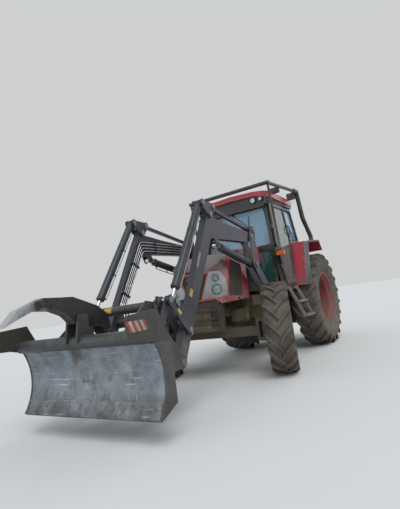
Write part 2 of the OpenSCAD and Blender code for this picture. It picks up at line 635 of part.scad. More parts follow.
// Room that the blade and its top tube take in a side view
module blade_back() {
    translate(blade_c) circle(r = blade_r + blade_t);
    translate([2310, 850]) circle(r = top_tube_r);
}
module tool_frame() at_machine() color("dimgray") {
    arms() {
        side_plates(ear_x, link_t) difference() {
            union() {
                strap(P1, P2, 100);
                polygon([P1 + [0, -40], P1 + [40, 60], P2 + [-20, 30], P2 + [20, 34], [2300, 740], [2300, 400]]);
            }
            hole(P1);
            blade_back();
        }
        bar_x(P2, pin_r, ear_x + link_t + 2);
    }
    // plates between the arms that carry the upper tube
    pair() side_plate(arm_x - lever_x - link_t - 30, 15) difference() {
        polygon([[1740, 480], [1740, 1110], [1850, 1130], [2240, 850], [2300, 800], [2300, 400]]);
        blade_back();
    }
    bar_x([1800, 1075], 45, arm_x - lever_x - link_t - 30);
    bar_x([1800, 560], 50, arm_x - ear_x - link_t);
    side_plates(45, 15) difference() {
        polygon([[1930, 360], [1930, 450], [2010, 470], [2300, 500], [2300, 330]]);
        blade_back();
    }
    bar_x(claw_foot, pin_r, 65);
}
module blade() at_machine() color("lightsteelblue") {
    side_plate(-blade_half_w, 2 * blade_half_w) polygon(concat(
        arc(blade_c, blade_r, 143, 180 + asin((blade_c[1] - blade_z) / blade_r), 12),
        arc(blade_c, blade_r + blade_t, 180 + asin((blade_c[1] - blade_z) / blade_r), 143, 12)));
    bar_x([2310, 850], top_tube_r, blade_half_w);
    // end plates: their front edge follows the blade's hollow, and their top is a horn
    pair() side_plate(blade_half_w, 20) polygon(concat([[2110, 300]],
        arc(blade_c, blade_r - 4, 180 + asin((blade_c[1] - blade_z) / blade_r), 150, 10),
        [[2420, 830], [2560, 840], [2590, 1000], [2560, 1030], [2230, 1050], [2150, 900], [2100, 740]]));
    side_plates(claw_w / 2 + 15, 20) difference() {
        polygon([[2230, 850], [2390, 850], [2340, 1090], [2240, 1090]]);
        hole(claw_pivot);
    }
}
module claw() at_machine() color("dimgray") {
    difference() {
        side_plate(-claw_w / 2, claw_w) polygon([[1930, 880], [1960, 1060], [2080, 1150], [2350, 1250], [2650, 1260], [2880, 1180], [claw_reach, 1060],
            [2860, 1120], [2740, 1165], [2560, 1150], [2440, 1100], [2360, 1020], [2240, 1000], [2060, 960], [2000, 860]]);
        // slot for the eye of the claw's rod
        at(claw_root) cube([50, 120, 120], center = true);
    }
    // the rod's pin sits in both cheeks and stops short of the rod's eye
    for (s = [-1, 1]) translate([s * (claw_w / 2 - 5), 0, 0]) bar_x(claw_root, pin_r, 14);
    bar_x(claw_pivot, pin_r, claw_w / 2 + 40);
}
module claw_barrel() at_machine() color("midnightblue") difference() {
    union() {
        rod_between(claw_foot, claw_root, 34, 25, claw_rod_out);
        bar_x(claw_foot, 36, 30);
    }
    bar_x(claw_foot, pin_r + pin_gap, 40);
    rod_between(claw_foot, claw_root, 18.3, 60, claw_rod_out - 10);
}
module claw_rod() at_machine() color("silver") difference() {
    union() {
        rod_between(claw_foot, claw_root, 18, 110, 24);
        bar_x(claw_root, 34, 20);
    }
    bar_x(claw_root, pin_r + pin_gap, 40);
}

// Winch
drum_y = rear_y + 560;
drum_z = 900;
module winch() at_machine() color("dimgray") {
    for (x = [-winch_half_w, -10, winch_half_w - 20]) difference() {
        translate([x, rear_y + 231, 560]) cube([20, plate_y - 231, 700]);
        translate([x - 1, drum_y, drum_z]) rotate([0, 90, 0]) cylinder(r = 45.5, h = 22);
    }
    translate([-winch_half_w, rear_y + 231, 540]) cube([2 * winch_half_w, plate_y - 231, 20]);
    translate([-winch_half_w, rear_y + 231, 560]) cube([2 * winch_half_w, 20, 700]);
    translate([-winch_half_w, rear_y + 300, 1260]) cube([2 * winch_half_w, 300, 20]);
}
module drum(side) translate([side * winch_half_w / 2, drum_y + y0, drum_z]) rotate([0, 90, 0]) {
    cylinder(r = 150, h = winch_half_w - 90, center = true);
    cylinder(r = 45, h = winch_half_w - 10, center = true);
    for (s = [-1, 1]) translate([0, 0, s * (winch_half_w / 2 - 38)]) cylinder(r = 210, h = 14, center = true);
}
module drum_l() color("gray") drum(1);
module drum_r() color("gray") drum(-1);
module log_plate() at_machine() color("dimgray")
{
    translate([-plate_half_w, rear_y + plate_y, 300]) cube([2 * plate_half_w, plate_t, 700]);
    // jaw of the trailer hitch
    difference() {
        for (z = [430, 510]) translate([-50, rear_y + plate_y + plate_t, z]) cube([100, hitch_reach, 20]);
        translate([0, rear_end - 45, 429]) cylinder(r = 16.5, h = 102);
    }
}

chassis();
engine_block();
front_axle();
knuckle_l();
knuckle_r();
wheel_fl();
wheel_fr();
wheel_rl();
wheel_rr();
rim_fl();
rim_fr();
rim_rl();
rim_rr();
nose_cover();
hood();
grille();
headlights();
cab_frame();
cab_side_l();
cab_side_r();
cab_top();
cab_glass();
roof();
door_l();
door_r();
door_glass_l();
door_glass_r();
interior();
fender_l();
fender_r();
fender_edges();
steps();
work_lamps();
guard_frame();
exhaust();
masts();
booms();
level_rods();
cranks();
crank_pins();
tilt_barrels();
tilt_rods();
lift_barrels();
lift_rods();
lever_pins();
levers();
link_pins();
links();
tool_pins();
tool_frame();
blade();
claw();
claw_barrel();
claw_rod();
winch();
drum_l();
drum_r();
log_plate();
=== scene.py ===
# Forestry tractor with a front loader, a log blade, a hooked claw and a cable winch.
# Metres. +X is the machine's left, the front faces -Y, +Z is up and the wheels stand on z = 0.
import json
import math

import bmesh
import bpy
from mathutils import Matrix, Vector


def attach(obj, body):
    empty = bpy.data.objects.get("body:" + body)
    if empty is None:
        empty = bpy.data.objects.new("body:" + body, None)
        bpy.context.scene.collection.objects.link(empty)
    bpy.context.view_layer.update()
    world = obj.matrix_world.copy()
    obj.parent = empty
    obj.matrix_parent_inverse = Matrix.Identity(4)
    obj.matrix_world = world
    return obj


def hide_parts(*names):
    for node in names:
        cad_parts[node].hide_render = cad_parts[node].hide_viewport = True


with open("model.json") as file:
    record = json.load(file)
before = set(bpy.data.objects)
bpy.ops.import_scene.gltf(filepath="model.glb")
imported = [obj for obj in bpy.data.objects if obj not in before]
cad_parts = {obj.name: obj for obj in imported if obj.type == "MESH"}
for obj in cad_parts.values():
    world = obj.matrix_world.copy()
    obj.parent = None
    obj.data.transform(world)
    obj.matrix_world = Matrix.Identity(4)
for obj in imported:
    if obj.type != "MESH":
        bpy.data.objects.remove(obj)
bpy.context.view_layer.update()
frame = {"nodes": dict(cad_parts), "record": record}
nodes = frame["nodes"]

# Camera, floor and light
# The camera stands low in front of the machine's left wheel and leans a little, as in the photo.
# The floor and the far background are one pale grey.
camera_place = Vector((2.80, -4.905, 1.07))
camera_right = Vector((0.834, 0.533, -0.141))
camera_forward = Vector((-0.521, 0.846, 0.114))
focal_mm = 27.43
studio_grey = (0.62, 0.63, 0.63, 1.0)

lens = bpy.data.cameras.new("camera")
lens.sensor_width = 36.0
lens.sensor_fit = "AUTO"
lens.lens = focal_mm
lens.clip_end = 200.0
camera = bpy.data.objects.new("camera", lens)
right = camera_right.normalized()
back = -camera_forward.normalized()
up = back.cross(right).normalized()
right = up.cross(back).normalized()
turn = Matrix((right, up, back)).transposed().to_4x4()
camera.matrix_world = Matrix.Translation(camera_place) @ turn
bpy.context.scene.collection.objects.link(camera)
bpy.context.scene.camera = camera
bpy.context.scene.view_settings.view_transform = "Standard"


def shader_node(tree, kind, values=None, **settings):
    # one shader node; each value is a number, a colour or another node's output
    made = tree.nodes.new("ShaderNode" + kind)
    for key, setting in settings.items():
        setattr(made, key, setting)
    for key, value in (values or {}).items():
        if isinstance(value, bpy.types.NodeSocket):
            tree.links.new(value, made.inputs[key])
        else:
            made.inputs[key].default_value = value
    return made


sky = bpy.data.worlds.new("studio")
bpy.context.scene.world = sky
sky.use_nodes = True
tree = sky.node_tree
tree.nodes.clear()
soft = shader_node(tree, "Background", {"Color": (0.90, 0.95, 1.0, 1.0), "Strength": 0.55})
pale = shader_node(tree, "Background", {"Color": studio_grey, "Strength": 1.0})
ray = shader_node(tree, "LightPath").outputs
direct = shader_node(tree, "Math", {0: ray["Is Camera Ray"], 1: ray["Is Glossy Ray"]}, operation="MAXIMUM")
seen = shader_node(tree, "Math", {0: direct.outputs[0], 1: ray["Is Transmission Ray"]}, operation="MAXIMUM")
blend = shader_node(tree, "MixShader", {0: seen.outputs[0], 1: soft.outputs[0], 2: pale.outputs[0]})
shader_node(tree, "OutputWorld", {"Surface": blend.outputs[0]})

for name, strength, angle, aim in [
    ("key_light", 1.7, 40.0, (-0.55, 0.55, -1.0)),
    ("fill_light", 0.5, 70.0, (0.7, 0.8, -0.35)),
    ("back_light", 0.5, 60.0, (-0.3, -1.0, -0.6)),
]:
    sun = bpy.data.lights.new(name, "SUN")
    sun.energy = strength
    sun.angle = math.radians(angle)
    lamp = bpy.data.objects.new(name, sun)
    lamp.rotation_mode = "QUATERNION"
    lamp.rotation_quaternion = Vector(aim).to_track_quat("-Z", "Y")
    bpy.context.scene.collection.objects.link(lamp)

floor_mesh = bpy.data.meshes.new("floor")
reach = 60.0
floor_mesh.from_pydata(
    [(-reach, -reach, 0), (reach, -reach, 0), (reach, reach, 0), (-reach, reach, 0)], [], [(0, 1, 2, 3)]
)
floor = bpy.data.objects.new("floor", floor_mesh)
bpy.context.scene.collection.objects.link(floor)
floor_finish = bpy.data.materials.new("floor")
floor_finish.use_nodes = True
floor_shader = floor_finish.node_tree.nodes["Principled BSDF"]
floor_shader.inputs["Base Color"].default_value = studio_grey
floor_shader.inputs["Roughness"].default_value = 0.9
floor_mesh.materials.append(floor_finish)


# Finishes
# Every painted or steel surface is a base colour with worn patches, dust low down and bare metal on edges.
# The grain is fixed to the machine's own coordinates.
def finish_nodes(name):
    material = bpy.data.materials.new(name)
    material.use_nodes = True
    return material, material.node_tree, material.node_tree.nodes["Principled BSDF"]


def speckle(tree, scale, detail=4.0, stretch=(1, 1, 1), rough=0.6):
    place = shader_node(tree, "TexCoord").outputs["Object"]
    size = shader_node(tree, "Mapping", {"Vector": place, "Scale": stretch}).outputs["Vector"]
    look = {"Scale": scale, "Detail": detail, "Roughness": rough}
    return shader_node(tree, "TexNoise", {"Vector": size, **look}).outputs["Fac"]


def ramp(tree, value, low, high, bottom=0.0, top=1.0):
    # a value that runs from bottom to top while the input runs from low to high
    limits = {"From Min": low, "From Max": high, "To Min": bottom, "To Max": top}
    return shader_node(tree, "MapRange", {"Value": value, **limits}).outputs["Result"]


def calc(tree, kind, a, b):
    clamped = kind in ("ADD", "SUBTRACT", "MULTIPLY")
    return shader_node(tree, "Math", {0: a, 1: b}, operation=kind, use_clamp=clamped).outputs[0]


def tint(tree, mask, first, second):
    # the first colour where the mask is 0 and the second where it is 1
    first, second = ((*c, 1.0) if isinstance(c, tuple) else c for c in (first, second))
    mix = shader_node(tree, "Mix", {"Factor": mask, "A": first, "B": second}, data_type="RGBA")
    return mix.outputs["Result"]


def edge_mask(tree, width):
    rounded = shader_node(tree, "Bevel", {"Radius": width}, samples=4).outputs["Normal"]
    plain = shader_node(tree, "NewGeometry").outputs["Normal"]
    match = shader_node(tree, "VectorMath", {0: rounded, 1: plain}, operation="DOT_PRODUCT")
    return ramp(tree, match.outputs["Value"], 0.995, 0.90)


def axis_value(tree, letter):
    place = shader_node(tree, "TexCoord").outputs["Object"]
    return shader_node(tree, "SeparateXYZ", {"Vector": place}).outputs[letter]


def bump(tree, shader, value, strength, depth):
    relief = shader_node(tree, "Bump", {"Strength": strength, "Distance": depth, "Height": value})
    tree.links.new(relief.outputs["Normal"], shader.inputs["Normal"])


def weathered(name, colour, faded, dirt, dirt_top, dirt_low=0.25, dirt_all=0.25, shine=(0.35, 0.6), metal=0.0,
              edge=None, edge_width=0.006, patch=2.2, relief=0.0012, coat=0.0):
    # dirt thickens from dirt_top down to dirt_low, and dirt_all of it lies in blotches anywhere
    material, tree, shader = finish_nodes(name)
    broad = ramp(tree, speckle(tree, patch, 5.0), 0.38, 0.66)
    fine = speckle(tree, 38.0, 5.0, rough=0.7)
    base = tint(tree, broad, colour, faded)
    if edge:
        chipped = ramp(tree, speckle(tree, 14.0, 4.0), 0.42, 0.60)
        base = tint(tree, calc(tree, "MULTIPLY", edge_mask(tree, edge_width), chipped), base, edge)
    low = ramp(tree, axis_value(tree, "Z"), dirt_top, dirt_low)
    blotch = ramp(tree, speckle(tree, 7.0, 6.0, rough=0.65), 0.40, 0.72)
    dusty = calc(tree, "MULTIPLY", blotch, dirt_all)
    muddy = calc(tree, "MULTIPLY", low, ramp(tree, speckle(tree, 5.0, 6.0), 0.30, 0.62, 0.25, 1.0))
    cover = calc(tree, "MAXIMUM", dusty, muddy)
    base = tint(tree, cover, base, dirt)
    base = tint(tree, ramp(tree, fine, 0.2, 0.8, 0.0, 0.22), base, tuple(0.2 * c for c in dirt))
    tree.links.new(base, shader.inputs["Base Color"])
    polish = ramp(tree, fine, 0.3, 0.7, shine[0], shine[1])
    rough = calc(tree, "ADD", polish, calc(tree, "MULTIPLY", cover, 0.4))
    tree.links.new(rough, shader.inputs["Roughness"])
    shader.inputs["Metallic"].default_value = metal
    if coat:
        shader.inputs["Coat Weight"].default_value = coat
        shader.inputs["Coat Roughness"].default_value = 0.15
    grain = calc(tree, "ADD", calc(tree, "MULTIPLY", fine, 0.4), calc(tree, "MULTIPLY", cover, 0.6))
    bump(tree, shader, grain, 0.6, relief)
    return material


forest_mud = (0.13, 0.105, 0.08)
dry_dust = (0.24, 0.21, 0.17)
bare_steel = (0.42, 0.42, 0.43)
red_paint = weathered("red_paint", (0.46, 0.012, 0.03), (0.36, 0.02, 0.035), dry_dust, 1.5, 0.6, 0.16,
                      (0.22, 0.4), coat=0.4, edge=(0.30, 0.10, 0.09), edge_width=0.004)
black_paint = weathered("black_paint", (0.013, 0.014, 0.016), (0.024, 0.024, 0.026), dry_dust, 1.3, 0.4, 0.12,
                        (0.35, 0.6), edge=(0.10, 0.10, 0.10))
navy_paint = weathered("navy_paint", (0.013, 0.018, 0.034), (0.022, 0.028, 0.046), dry_dust, 1.0, 0.2, 0.09,
                       (0.32, 0.55), edge=(0.16, 0.16, 0.17), edge_width=0.005)
casting = weathered("casting", (0.075, 0.068, 0.06), (0.11, 0.095, 0.075), forest_mud, 1.1, 0.3, 0.6,
                    (0.6, 0.85), relief=0.003)
worn_steel = weathered("worn_steel", (0.19, 0.21, 0.24), (0.30, 0.32, 0.35), forest_mud, 0.9, 0.1, 0.5,
                       (0.35, 0.6), metal=0.55, edge=bare_steel, edge_width=0.008, patch=4.0, relief=0.002)
chrome_rod = weathered("chrome_rod", (0.72, 0.73, 0.75), (0.62, 0.63, 0.65), dry_dust, 0.2, 0.1, 0.10,
                       (0.10, 0.25), metal=1.0, relief=0.0002)
tyre_rubber = weathered("tyre_rubber", (0.030, 0.028, 0.026), (0.05, 0.046, 0.042), (0.17, 0.145, 0.12),
                        2.4, 0.5, 0.5, (0.75, 0.95), relief=0.002)
trim_plastic = weathered("trim_plastic", (0.022, 0.022, 0.024), (0.035, 0.035, 0.037), dry_dust,
                         1.2, 0.5, 0.2, (0.5, 0.7), relief=0.0008)


def clear_glass(name, colour, through, rough=0.03):
    material, tree, shader = finish_nodes(name)
    haze = ramp(tree, speckle(tree, 3.0, 5.0), 0.3, 0.7)
    tree.links.new(tint(tree, haze, colour, tuple(0.85 * c for c in colour)), shader.inputs["Base Color"])
    smeared = ramp(tree, speckle(tree, 9.0, 5.0), 0.4, 0.8, rough, rough + 0.12)
    tree.links.new(smeared, shader.inputs["Roughness"])
    shader.inputs["Transmission Weight"].default_value = through
    shader.inputs["IOR"].default_value = 1.45
    return material


# the windscreen's pale blue base colour is a painted reflection of the sky, on half see-through glass
windscreen_glass = clear_glass("windscreen_glass", (0.36, 0.60, 0.78), 0.55)
door_glass = clear_glass("door_glass", (0.20, 0.30, 0.28), 0.7)

slot_finish = {
    "red_paint": red_paint,
    "black_paint": black_paint,
    "navy_paint": navy_paint,
    "casting": casting,
    "worn_steel": worn_steel,
    "chrome_rod": chrome_rod,
    "tyre": tyre_rubber,
    "glass": door_glass,
    "trim_plastic": trim_plastic,
}
for row in frame["record"]["subparts"]:
    node = nodes[row["node"]]
    node.data.materials.clear()
    node.data.materials.append(slot_finish[row["material_slot"]])
nodes["cab_glass"].data.materials[0] = windscreen_glass


# Wheels
# Farm tyres of black rubber with a bar tread, stained by forest mud, on pressed steel rims painted red.
# Each tyre is a moulded ring with two rows of slanted bars, and its rim is bolted to the hub by eight nuts.
def new_piece(name, shape, material, body, rounding=0.0, smooth=35.0, segments=2):
    bmesh.ops.recalc_face_normals(shape, faces=shape.faces)
    mesh = bpy.data.meshes.new(name)
    shape.to_mesh(mesh)
    shape.free()
    for face in mesh.polygons:
        face.use_smooth = True
    mesh.set_sharp_from_angle(angle=math.radians(smooth))
    mesh.materials.append(material)
    thing = bpy.data.objects.new(name, mesh)
    bpy.context.scene.collection.objects.link(thing)
    if rounding:
        soften(thing, rounding, segments)
    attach(thing, body)
    return thing


def soften(thing, width, segments=2):
    edge = thing.modifiers.new("rounded_edges", "BEVEL")
    edge.width = width
    edge.segments = segments
    edge.limit_method = "ANGLE"
    edge.angle_limit = math.radians(32)
    edge.harden_normals = False


def around(count):
    # cosine and sine of evenly spaced angles
    return [(math.cos(2 * math.pi * i / count), math.sin(2 * math.pi * i / count)) for i in range(count)]


def turned(shape, outline, place, count=48):
    # outline is [radius, distance along the axle]; the axle is the local X
    rings = []
    for c, s in around(count):
        rings.append([shape.verts.new(place @ Vector((x, r * c, r * s))) for r, x in outline])
    for i in range(count):
        near, far = rings[i], rings[(i + 1) % count]
        for k in range(len(outline)):
            m = (k + 1) % len(outline)
            shape.faces.new((near[k], near[m], far[m], far[k]))


def tread_bar(shape, place, wheel_r, wide, bar_h, start, row, sweep, thick):
    # one bar runs from beside the middle of the tread over the shoulder, and its middle end leads
    stations = 8
    rows = []
    for i in range(stations + 1):
        t = i / stations
        x = row * wide * (-0.035 + 0.535 * t)
        a = start - sweep * (t ** 0.9)
        over = max(0.0, abs(x) - wide * 0.40)
        top = wheel_r - over * 0.62 - (wheel_r * 0.012 if i == stations else 0.0)
        floor_r = wheel_r - bar_h * 1.25 - max(0.0, abs(x) - wide * 0.33) * 0.85
        flare = 1.0 + 0.35 * t
        half_low = thick * 0.72 * flare
        half_top = thick * 0.5 * flare
        corners = []
        for r, half in ((floor_r, half_low), (top, half_top), (top, -half_top), (floor_r, -half_low)):
            angle = a + half / wheel_r
            corners.append(shape.verts.new(place @ Vector((x, -r * math.sin(angle), r * math.cos(angle)))))
        rows.append(corners)
    for low, high in zip(rows, rows[1:]):
        for k in range(4):
            m = (k + 1) % 4
            shape.faces.new((low[k], low[m], high[m], high[k]))
    shape.faces.new(rows[0])
    shape.faces.new(reversed(rows[-1]))


def tyre_outline(wheel_r, wide, rim_r, bar_h):
    base = wheel_r - bar_h
    half = [
        (base, 0.0), (base - 0.002, 0.12), (base - 0.006, 0.24), (base - 0.016, 0.34), (base - 0.035, 0.42),
        (base - 0.065, 0.475), (base - 0.095, 0.497), (0.52 * base + 0.48 * rim_r, 0.50),
        (0.30 * base + 0.70 * rim_r, 0.478), (0.14 * base + 0.86 * rim_r, 0.44), (rim_r + 0.022, 0.415),
        (rim_r + 0.018, 0.395), (rim_r + 0.004, 0.385), (rim_r, 0.36),
    ]
    right_side = [(r, -x * wide) for r, x in reversed(half[1:])]
    left_side = [(r, x * wide) for r, x in half]
    return right_side + left_side


# side outlines count forward from this line, 130 mm in front of the front axle
line_y = -0.275
front_axle_y = line_y + 0.13
rear_axle_y = line_y + 2.43
kingpin_x = 0.715
kingpin_to_wheel = 0.175
rear_wheel_x = 0.775
steer = math.radians(20)
# side of the machine, tyre radius and width, rim radius, tread bars and their sweep in radians
wheels = {
    "fl": (1, 0.580, 0.330, 0.305, 18, 0.66),
    "fr": (-1, 0.580, 0.330, 0.305, 18, 0.66),
    "rl": (1, 0.795, 0.430, 0.4325, 21, 0.60),
    "rr": (-1, 0.795, 0.430, 0.4325, 21, 0.60),
}


def wheel_place(key):
    hand, wheel_r = wheels[key][:2]
    if key[0] == "f":
        pin = Matrix.Translation(Vector((hand * kingpin_x, front_axle_y, wheel_r)))
        turned_pin = pin @ Matrix.Rotation(steer, 4, "Z")
        return turned_pin @ Matrix.Translation(Vector((hand * kingpin_to_wheel, 0, 0)))
    return Matrix.Translation(Vector((hand * rear_wheel_x, rear_axle_y, wheel_r)))


bar_h = 0.032
for key, (hand, wheel_r, wide, rim_r, bars, sweep) in wheels.items():
    place = wheel_place(key)
    shape = bmesh.new()
    turned(shape, tyre_outline(wheel_r, wide, rim_r, bar_h), place, 96)
    pitch = 2 * math.pi / bars
    for i in range(bars):
        for row in (-1, 1):
            start = pitch * (i + 0.25 * row)
            thick = 0.030 if key[0] == "f" else 0.036
            tread_bar(shape, place, wheel_r, wide, bar_h, start, row, sweep * 0.55, thick)
    tyre = new_piece("tyre_" + key, shape, tyre_rubber, "wheel_" + key, smooth=40)
    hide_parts("wheel_" + key)

rim_mud = weathered("rim_paint", (0.40, 0.03, 0.03), (0.30, 0.04, 0.035), forest_mud, 2.2, 0.5, 0.55,
                    (0.4, 0.65), edge=(0.22, 0.18, 0.16))
nut_count = 8
nut_circle = 0.13
for key, (hand, wheel_r, wide, rim_r, bars, sweep) in wheels.items():
    place = wheel_place(key) @ Matrix.Scale(hand, 4, Vector((1, 0, 0)))
    face = 0.0 if key[0] == "f" else -0.140
    half = wide * 0.385
    shape = bmesh.new()
    turned(shape, [
        (rim_r - 0.001, -half), (rim_r - 0.001, half), (rim_r + 0.016, half + 0.004),
        (rim_r + 0.020, half + 0.010), (rim_r + 0.015, half + 0.014), (rim_r - 0.012, half + 0.006),
        (rim_r - 0.022, half - 0.02),
        (rim_r - 0.045, half - 0.06), (rim_r - 0.048, face + 0.10), (rim_r - 0.058, face + 0.06),
        (rim_r - 0.085, face + 0.035), (rim_r * 0.60, face + 0.030), (rim_r * 0.52, face + 0.014),
        (0.085, face + 0.014), (0.080, face + 0.070), (0.070, face + 0.078), (0.0005, face + 0.080),
        (0.0005, face + 0.001), (rim_r * 0.52, face + 0.001), (rim_r * 0.60, face + 0.016),
        (rim_r - 0.09, face + 0.021), (rim_r - 0.066, face + 0.05), (rim_r - 0.058, face + 0.10),
        (rim_r - 0.056, half - 0.07), (rim_r - 0.03, half - 0.03), (rim_r - 0.022, -half + 0.03),
        (rim_r - 0.012, -half - 0.006), (rim_r + 0.015, -half - 0.014), (rim_r + 0.020, -half - 0.010),
        (rim_r + 0.016, -half - 0.004),
    ], place, 64)
    for c, s in around(nut_count):
        spot = place @ Matrix.Translation(Vector((0, nut_circle * c, nut_circle * s)))
        turned(shape, [(0.0005, face + 0.010), (0.016, face + 0.010), (0.016, face + 0.034),
                       (0.009, face + 0.036), (0.009, face + 0.046), (0.0005, face + 0.046)], spot, 6)
    rim = new_piece("rim_" + key + "_dressed", shape, rim_mud, "wheel_" + key, smooth=30)
    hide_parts("rim_" + key)


# Loader
# Two masts bolted to the frame carry bent box-section arms, welded from plate and painted dark navy.
# Cranks, rods and cylinders keep the tool level; the pins are held by small plates and bolts.
def side(f, z, x=0.0):
    return Vector((x, line_y - f, z))


def plate(shape, outline, x0, x1):
    near = [shape.verts.new(side(f, z, x0)) for f, z in outline]
    far = [shape.verts.new(side(f, z, x1)) for f, z in outline]
    shape.faces.new(near)
    shape.faces.new(reversed(far))
    for i in range(len(outline)):
        k = (i + 1) % len(outline)
        shape.faces.new((near[i], near[k], far[k], far[i]))


def block(shape, low, high):
    # low and high are opposite corners, [x, forward, height]
    (x0, f0, z0), (x1, f1, z1) = low, high
    plate(shape, [(f0, z0), (f1, z0), (f1, z1), (f0, z1)], x0, x1)


def pipe(shape, points, radius, count=12, bend=0.0, steps=5):
    line = [Vector(p) for p in points]
    if bend:
        line = rounded_line(line, bend, steps)
    rings = []
    across = None
    for i, p in enumerate(line):
        ahead = (line[min(i + 1, len(line) - 1)] - line[max(i - 1, 0)]).normalized()
        if across is None:
            across = ahead.orthogonal().normalized()
        across = (across - ahead * across.dot(ahead)).normalized()
        other = ahead.cross(across)
        size = radius[i] if isinstance(radius, list) else radius
        rings.append([shape.verts.new(p + size * (c * across + s * other)) for c, s in around(count)])
    for near, far in zip(rings, rings[1:]):
        for k in range(count):
            m = (k + 1) % count
            shape.faces.new((near[k], near[m], far[m], far[k]))
    shape.faces.new(rings[0])
    shape.faces.new(reversed(rings[-1]))


def rounded_line(line, bend, steps):
    smooth = [line[0]]
    for i in range(1, len(line) - 1):
        p = line[i]
        back_way = line[i - 1] - p
        on_way = line[i + 1] - p
        room = min(bend, back_way.length * 0.48, on_way.length * 0.48)
        first = p + back_way.normalized() * room
        last = p + on_way.normalized() * room
        for k in range(steps + 1):
            t = k / steps
            smooth.append(first * (1 - t) ** 2 + p * 2 * t * (1 - t) + last * t ** 2)
    smooth.append(line[-1])
    return smooth


def bar(shape, start, end, radius, count=20):
    pipe(shape, [start, end], radius, count)


def hex_head(shape, place, axis, size, tall):
    bar(shape, place, place + axis * tall, size, 6)


arm_x = 0.53
pins = {
    "A": (-0.385, 1.845), "B": (-0.475, 1.95), "C": (0.59, 2.155), "D": (0.68, 2.05), "K": (0.82, 2.175),
    "L": (1.44, 0.79), "R": (1.60, 1.085), "T": (1.70, 1.11), "P": (1.60, 0.51), "Q": (1.86, 0.83),
    "G": (-0.43, 1.45), "H": (0.56, 1.69),
}


def pin_caps(name, body, rows, way=-1):
    # rows are [pin, distance of its end from the arm's middle]; way is -1 where the keeper hangs down
    shape = bmesh.new()
    for pin, end in rows:
        f, z = pins[pin]
        for middle in (-arm_x, arm_x):
            for s in (-1, 1):
                out = Vector((s, 0, 0))
                spot = side(f, z, middle + s * (end - 0.001))
                bar(shape, spot, spot + out * 0.005, 0.031, 28)
                tail, screw = z + way * 0.052, z + way * 0.040
                plate(shape, [(f - 0.012, tail), (f + 0.012, tail), (f + 0.014, z), (f - 0.014, z)],
                      middle + s * (end + 0.0035), middle + s * (end + 0.0085))
                hex_head(shape, side(f, screw, middle + s * (end + 0.008)), out, 0.010, 0.007)
                bar(shape, spot + out * 0.004, spot + out * 0.012, 0.006, 8)
    return new_piece(name, shape, worn_steel, body, 0.0012, 30)


pin_caps("mast_pin_caps", "chassis", [("A", 0.070), ("B", 0.070), ("G", 0.070)])
pin_caps("crank_caps", "cranks", [("D", 0.066), ("C", 0.066)])
pin_caps("tilt_pin_caps", "crank_pins", [("K", 0.066)])
pin_caps("lever_caps", "levers", [("R", 0.083)])
pin_caps("lever_pin_caps", "lever_pins", [("L", 0.083)])
pin_caps("link_pin_caps", "link_pins", [("T", 0.083)], 1)
pin_caps("tool_frame_caps", "tool", [("Q", 0.064)])
pin_caps("tool_pin_caps", "tool_pins", [("P", 0.064)])


# Pressure pipes
# Four bright steel pipes lie side by side on the inner face of each arm, under clamps with two screws.
# They follow the bend of the arm from the rear end down to the tool.
pipe_steel = weathered("pipe_steel", (0.52, 0.53, 0.56), (0.40, 0.41, 0.43), dry_dust, 1.0, 0.3, 0.25,
                       (0.25, 0.45), metal=0.9, relief=0.0004)
hose_rubber = weathered("hose_rubber", (0.012, 0.012, 0.013), (0.022, 0.022, 0.023), dry_dust, 1.2, 0.4, 0.25,
                        (0.4, 0.6), relief=0.0004)
arm_half = 0.045
pipe_r = 0.0075
hose_r = 0.0085
clamp_ends = [((0.05, 1.775), (0.05, 1.925)), ((0.45, 1.775), (0.45, 1.935)),
              ((0.840, 1.575), (0.960, 1.652)), ((1.075, 1.214), (1.195, 1.291))]


def strip(a, b, half):
    # outline of a flat strip between two points of the side view
    along = (b - a).normalized()
    across = Vector((0, -along.z, along.y)) * half
    return [(line_y - v.y, v.z) for v in (a - across, b - across, b + across, a + across)]


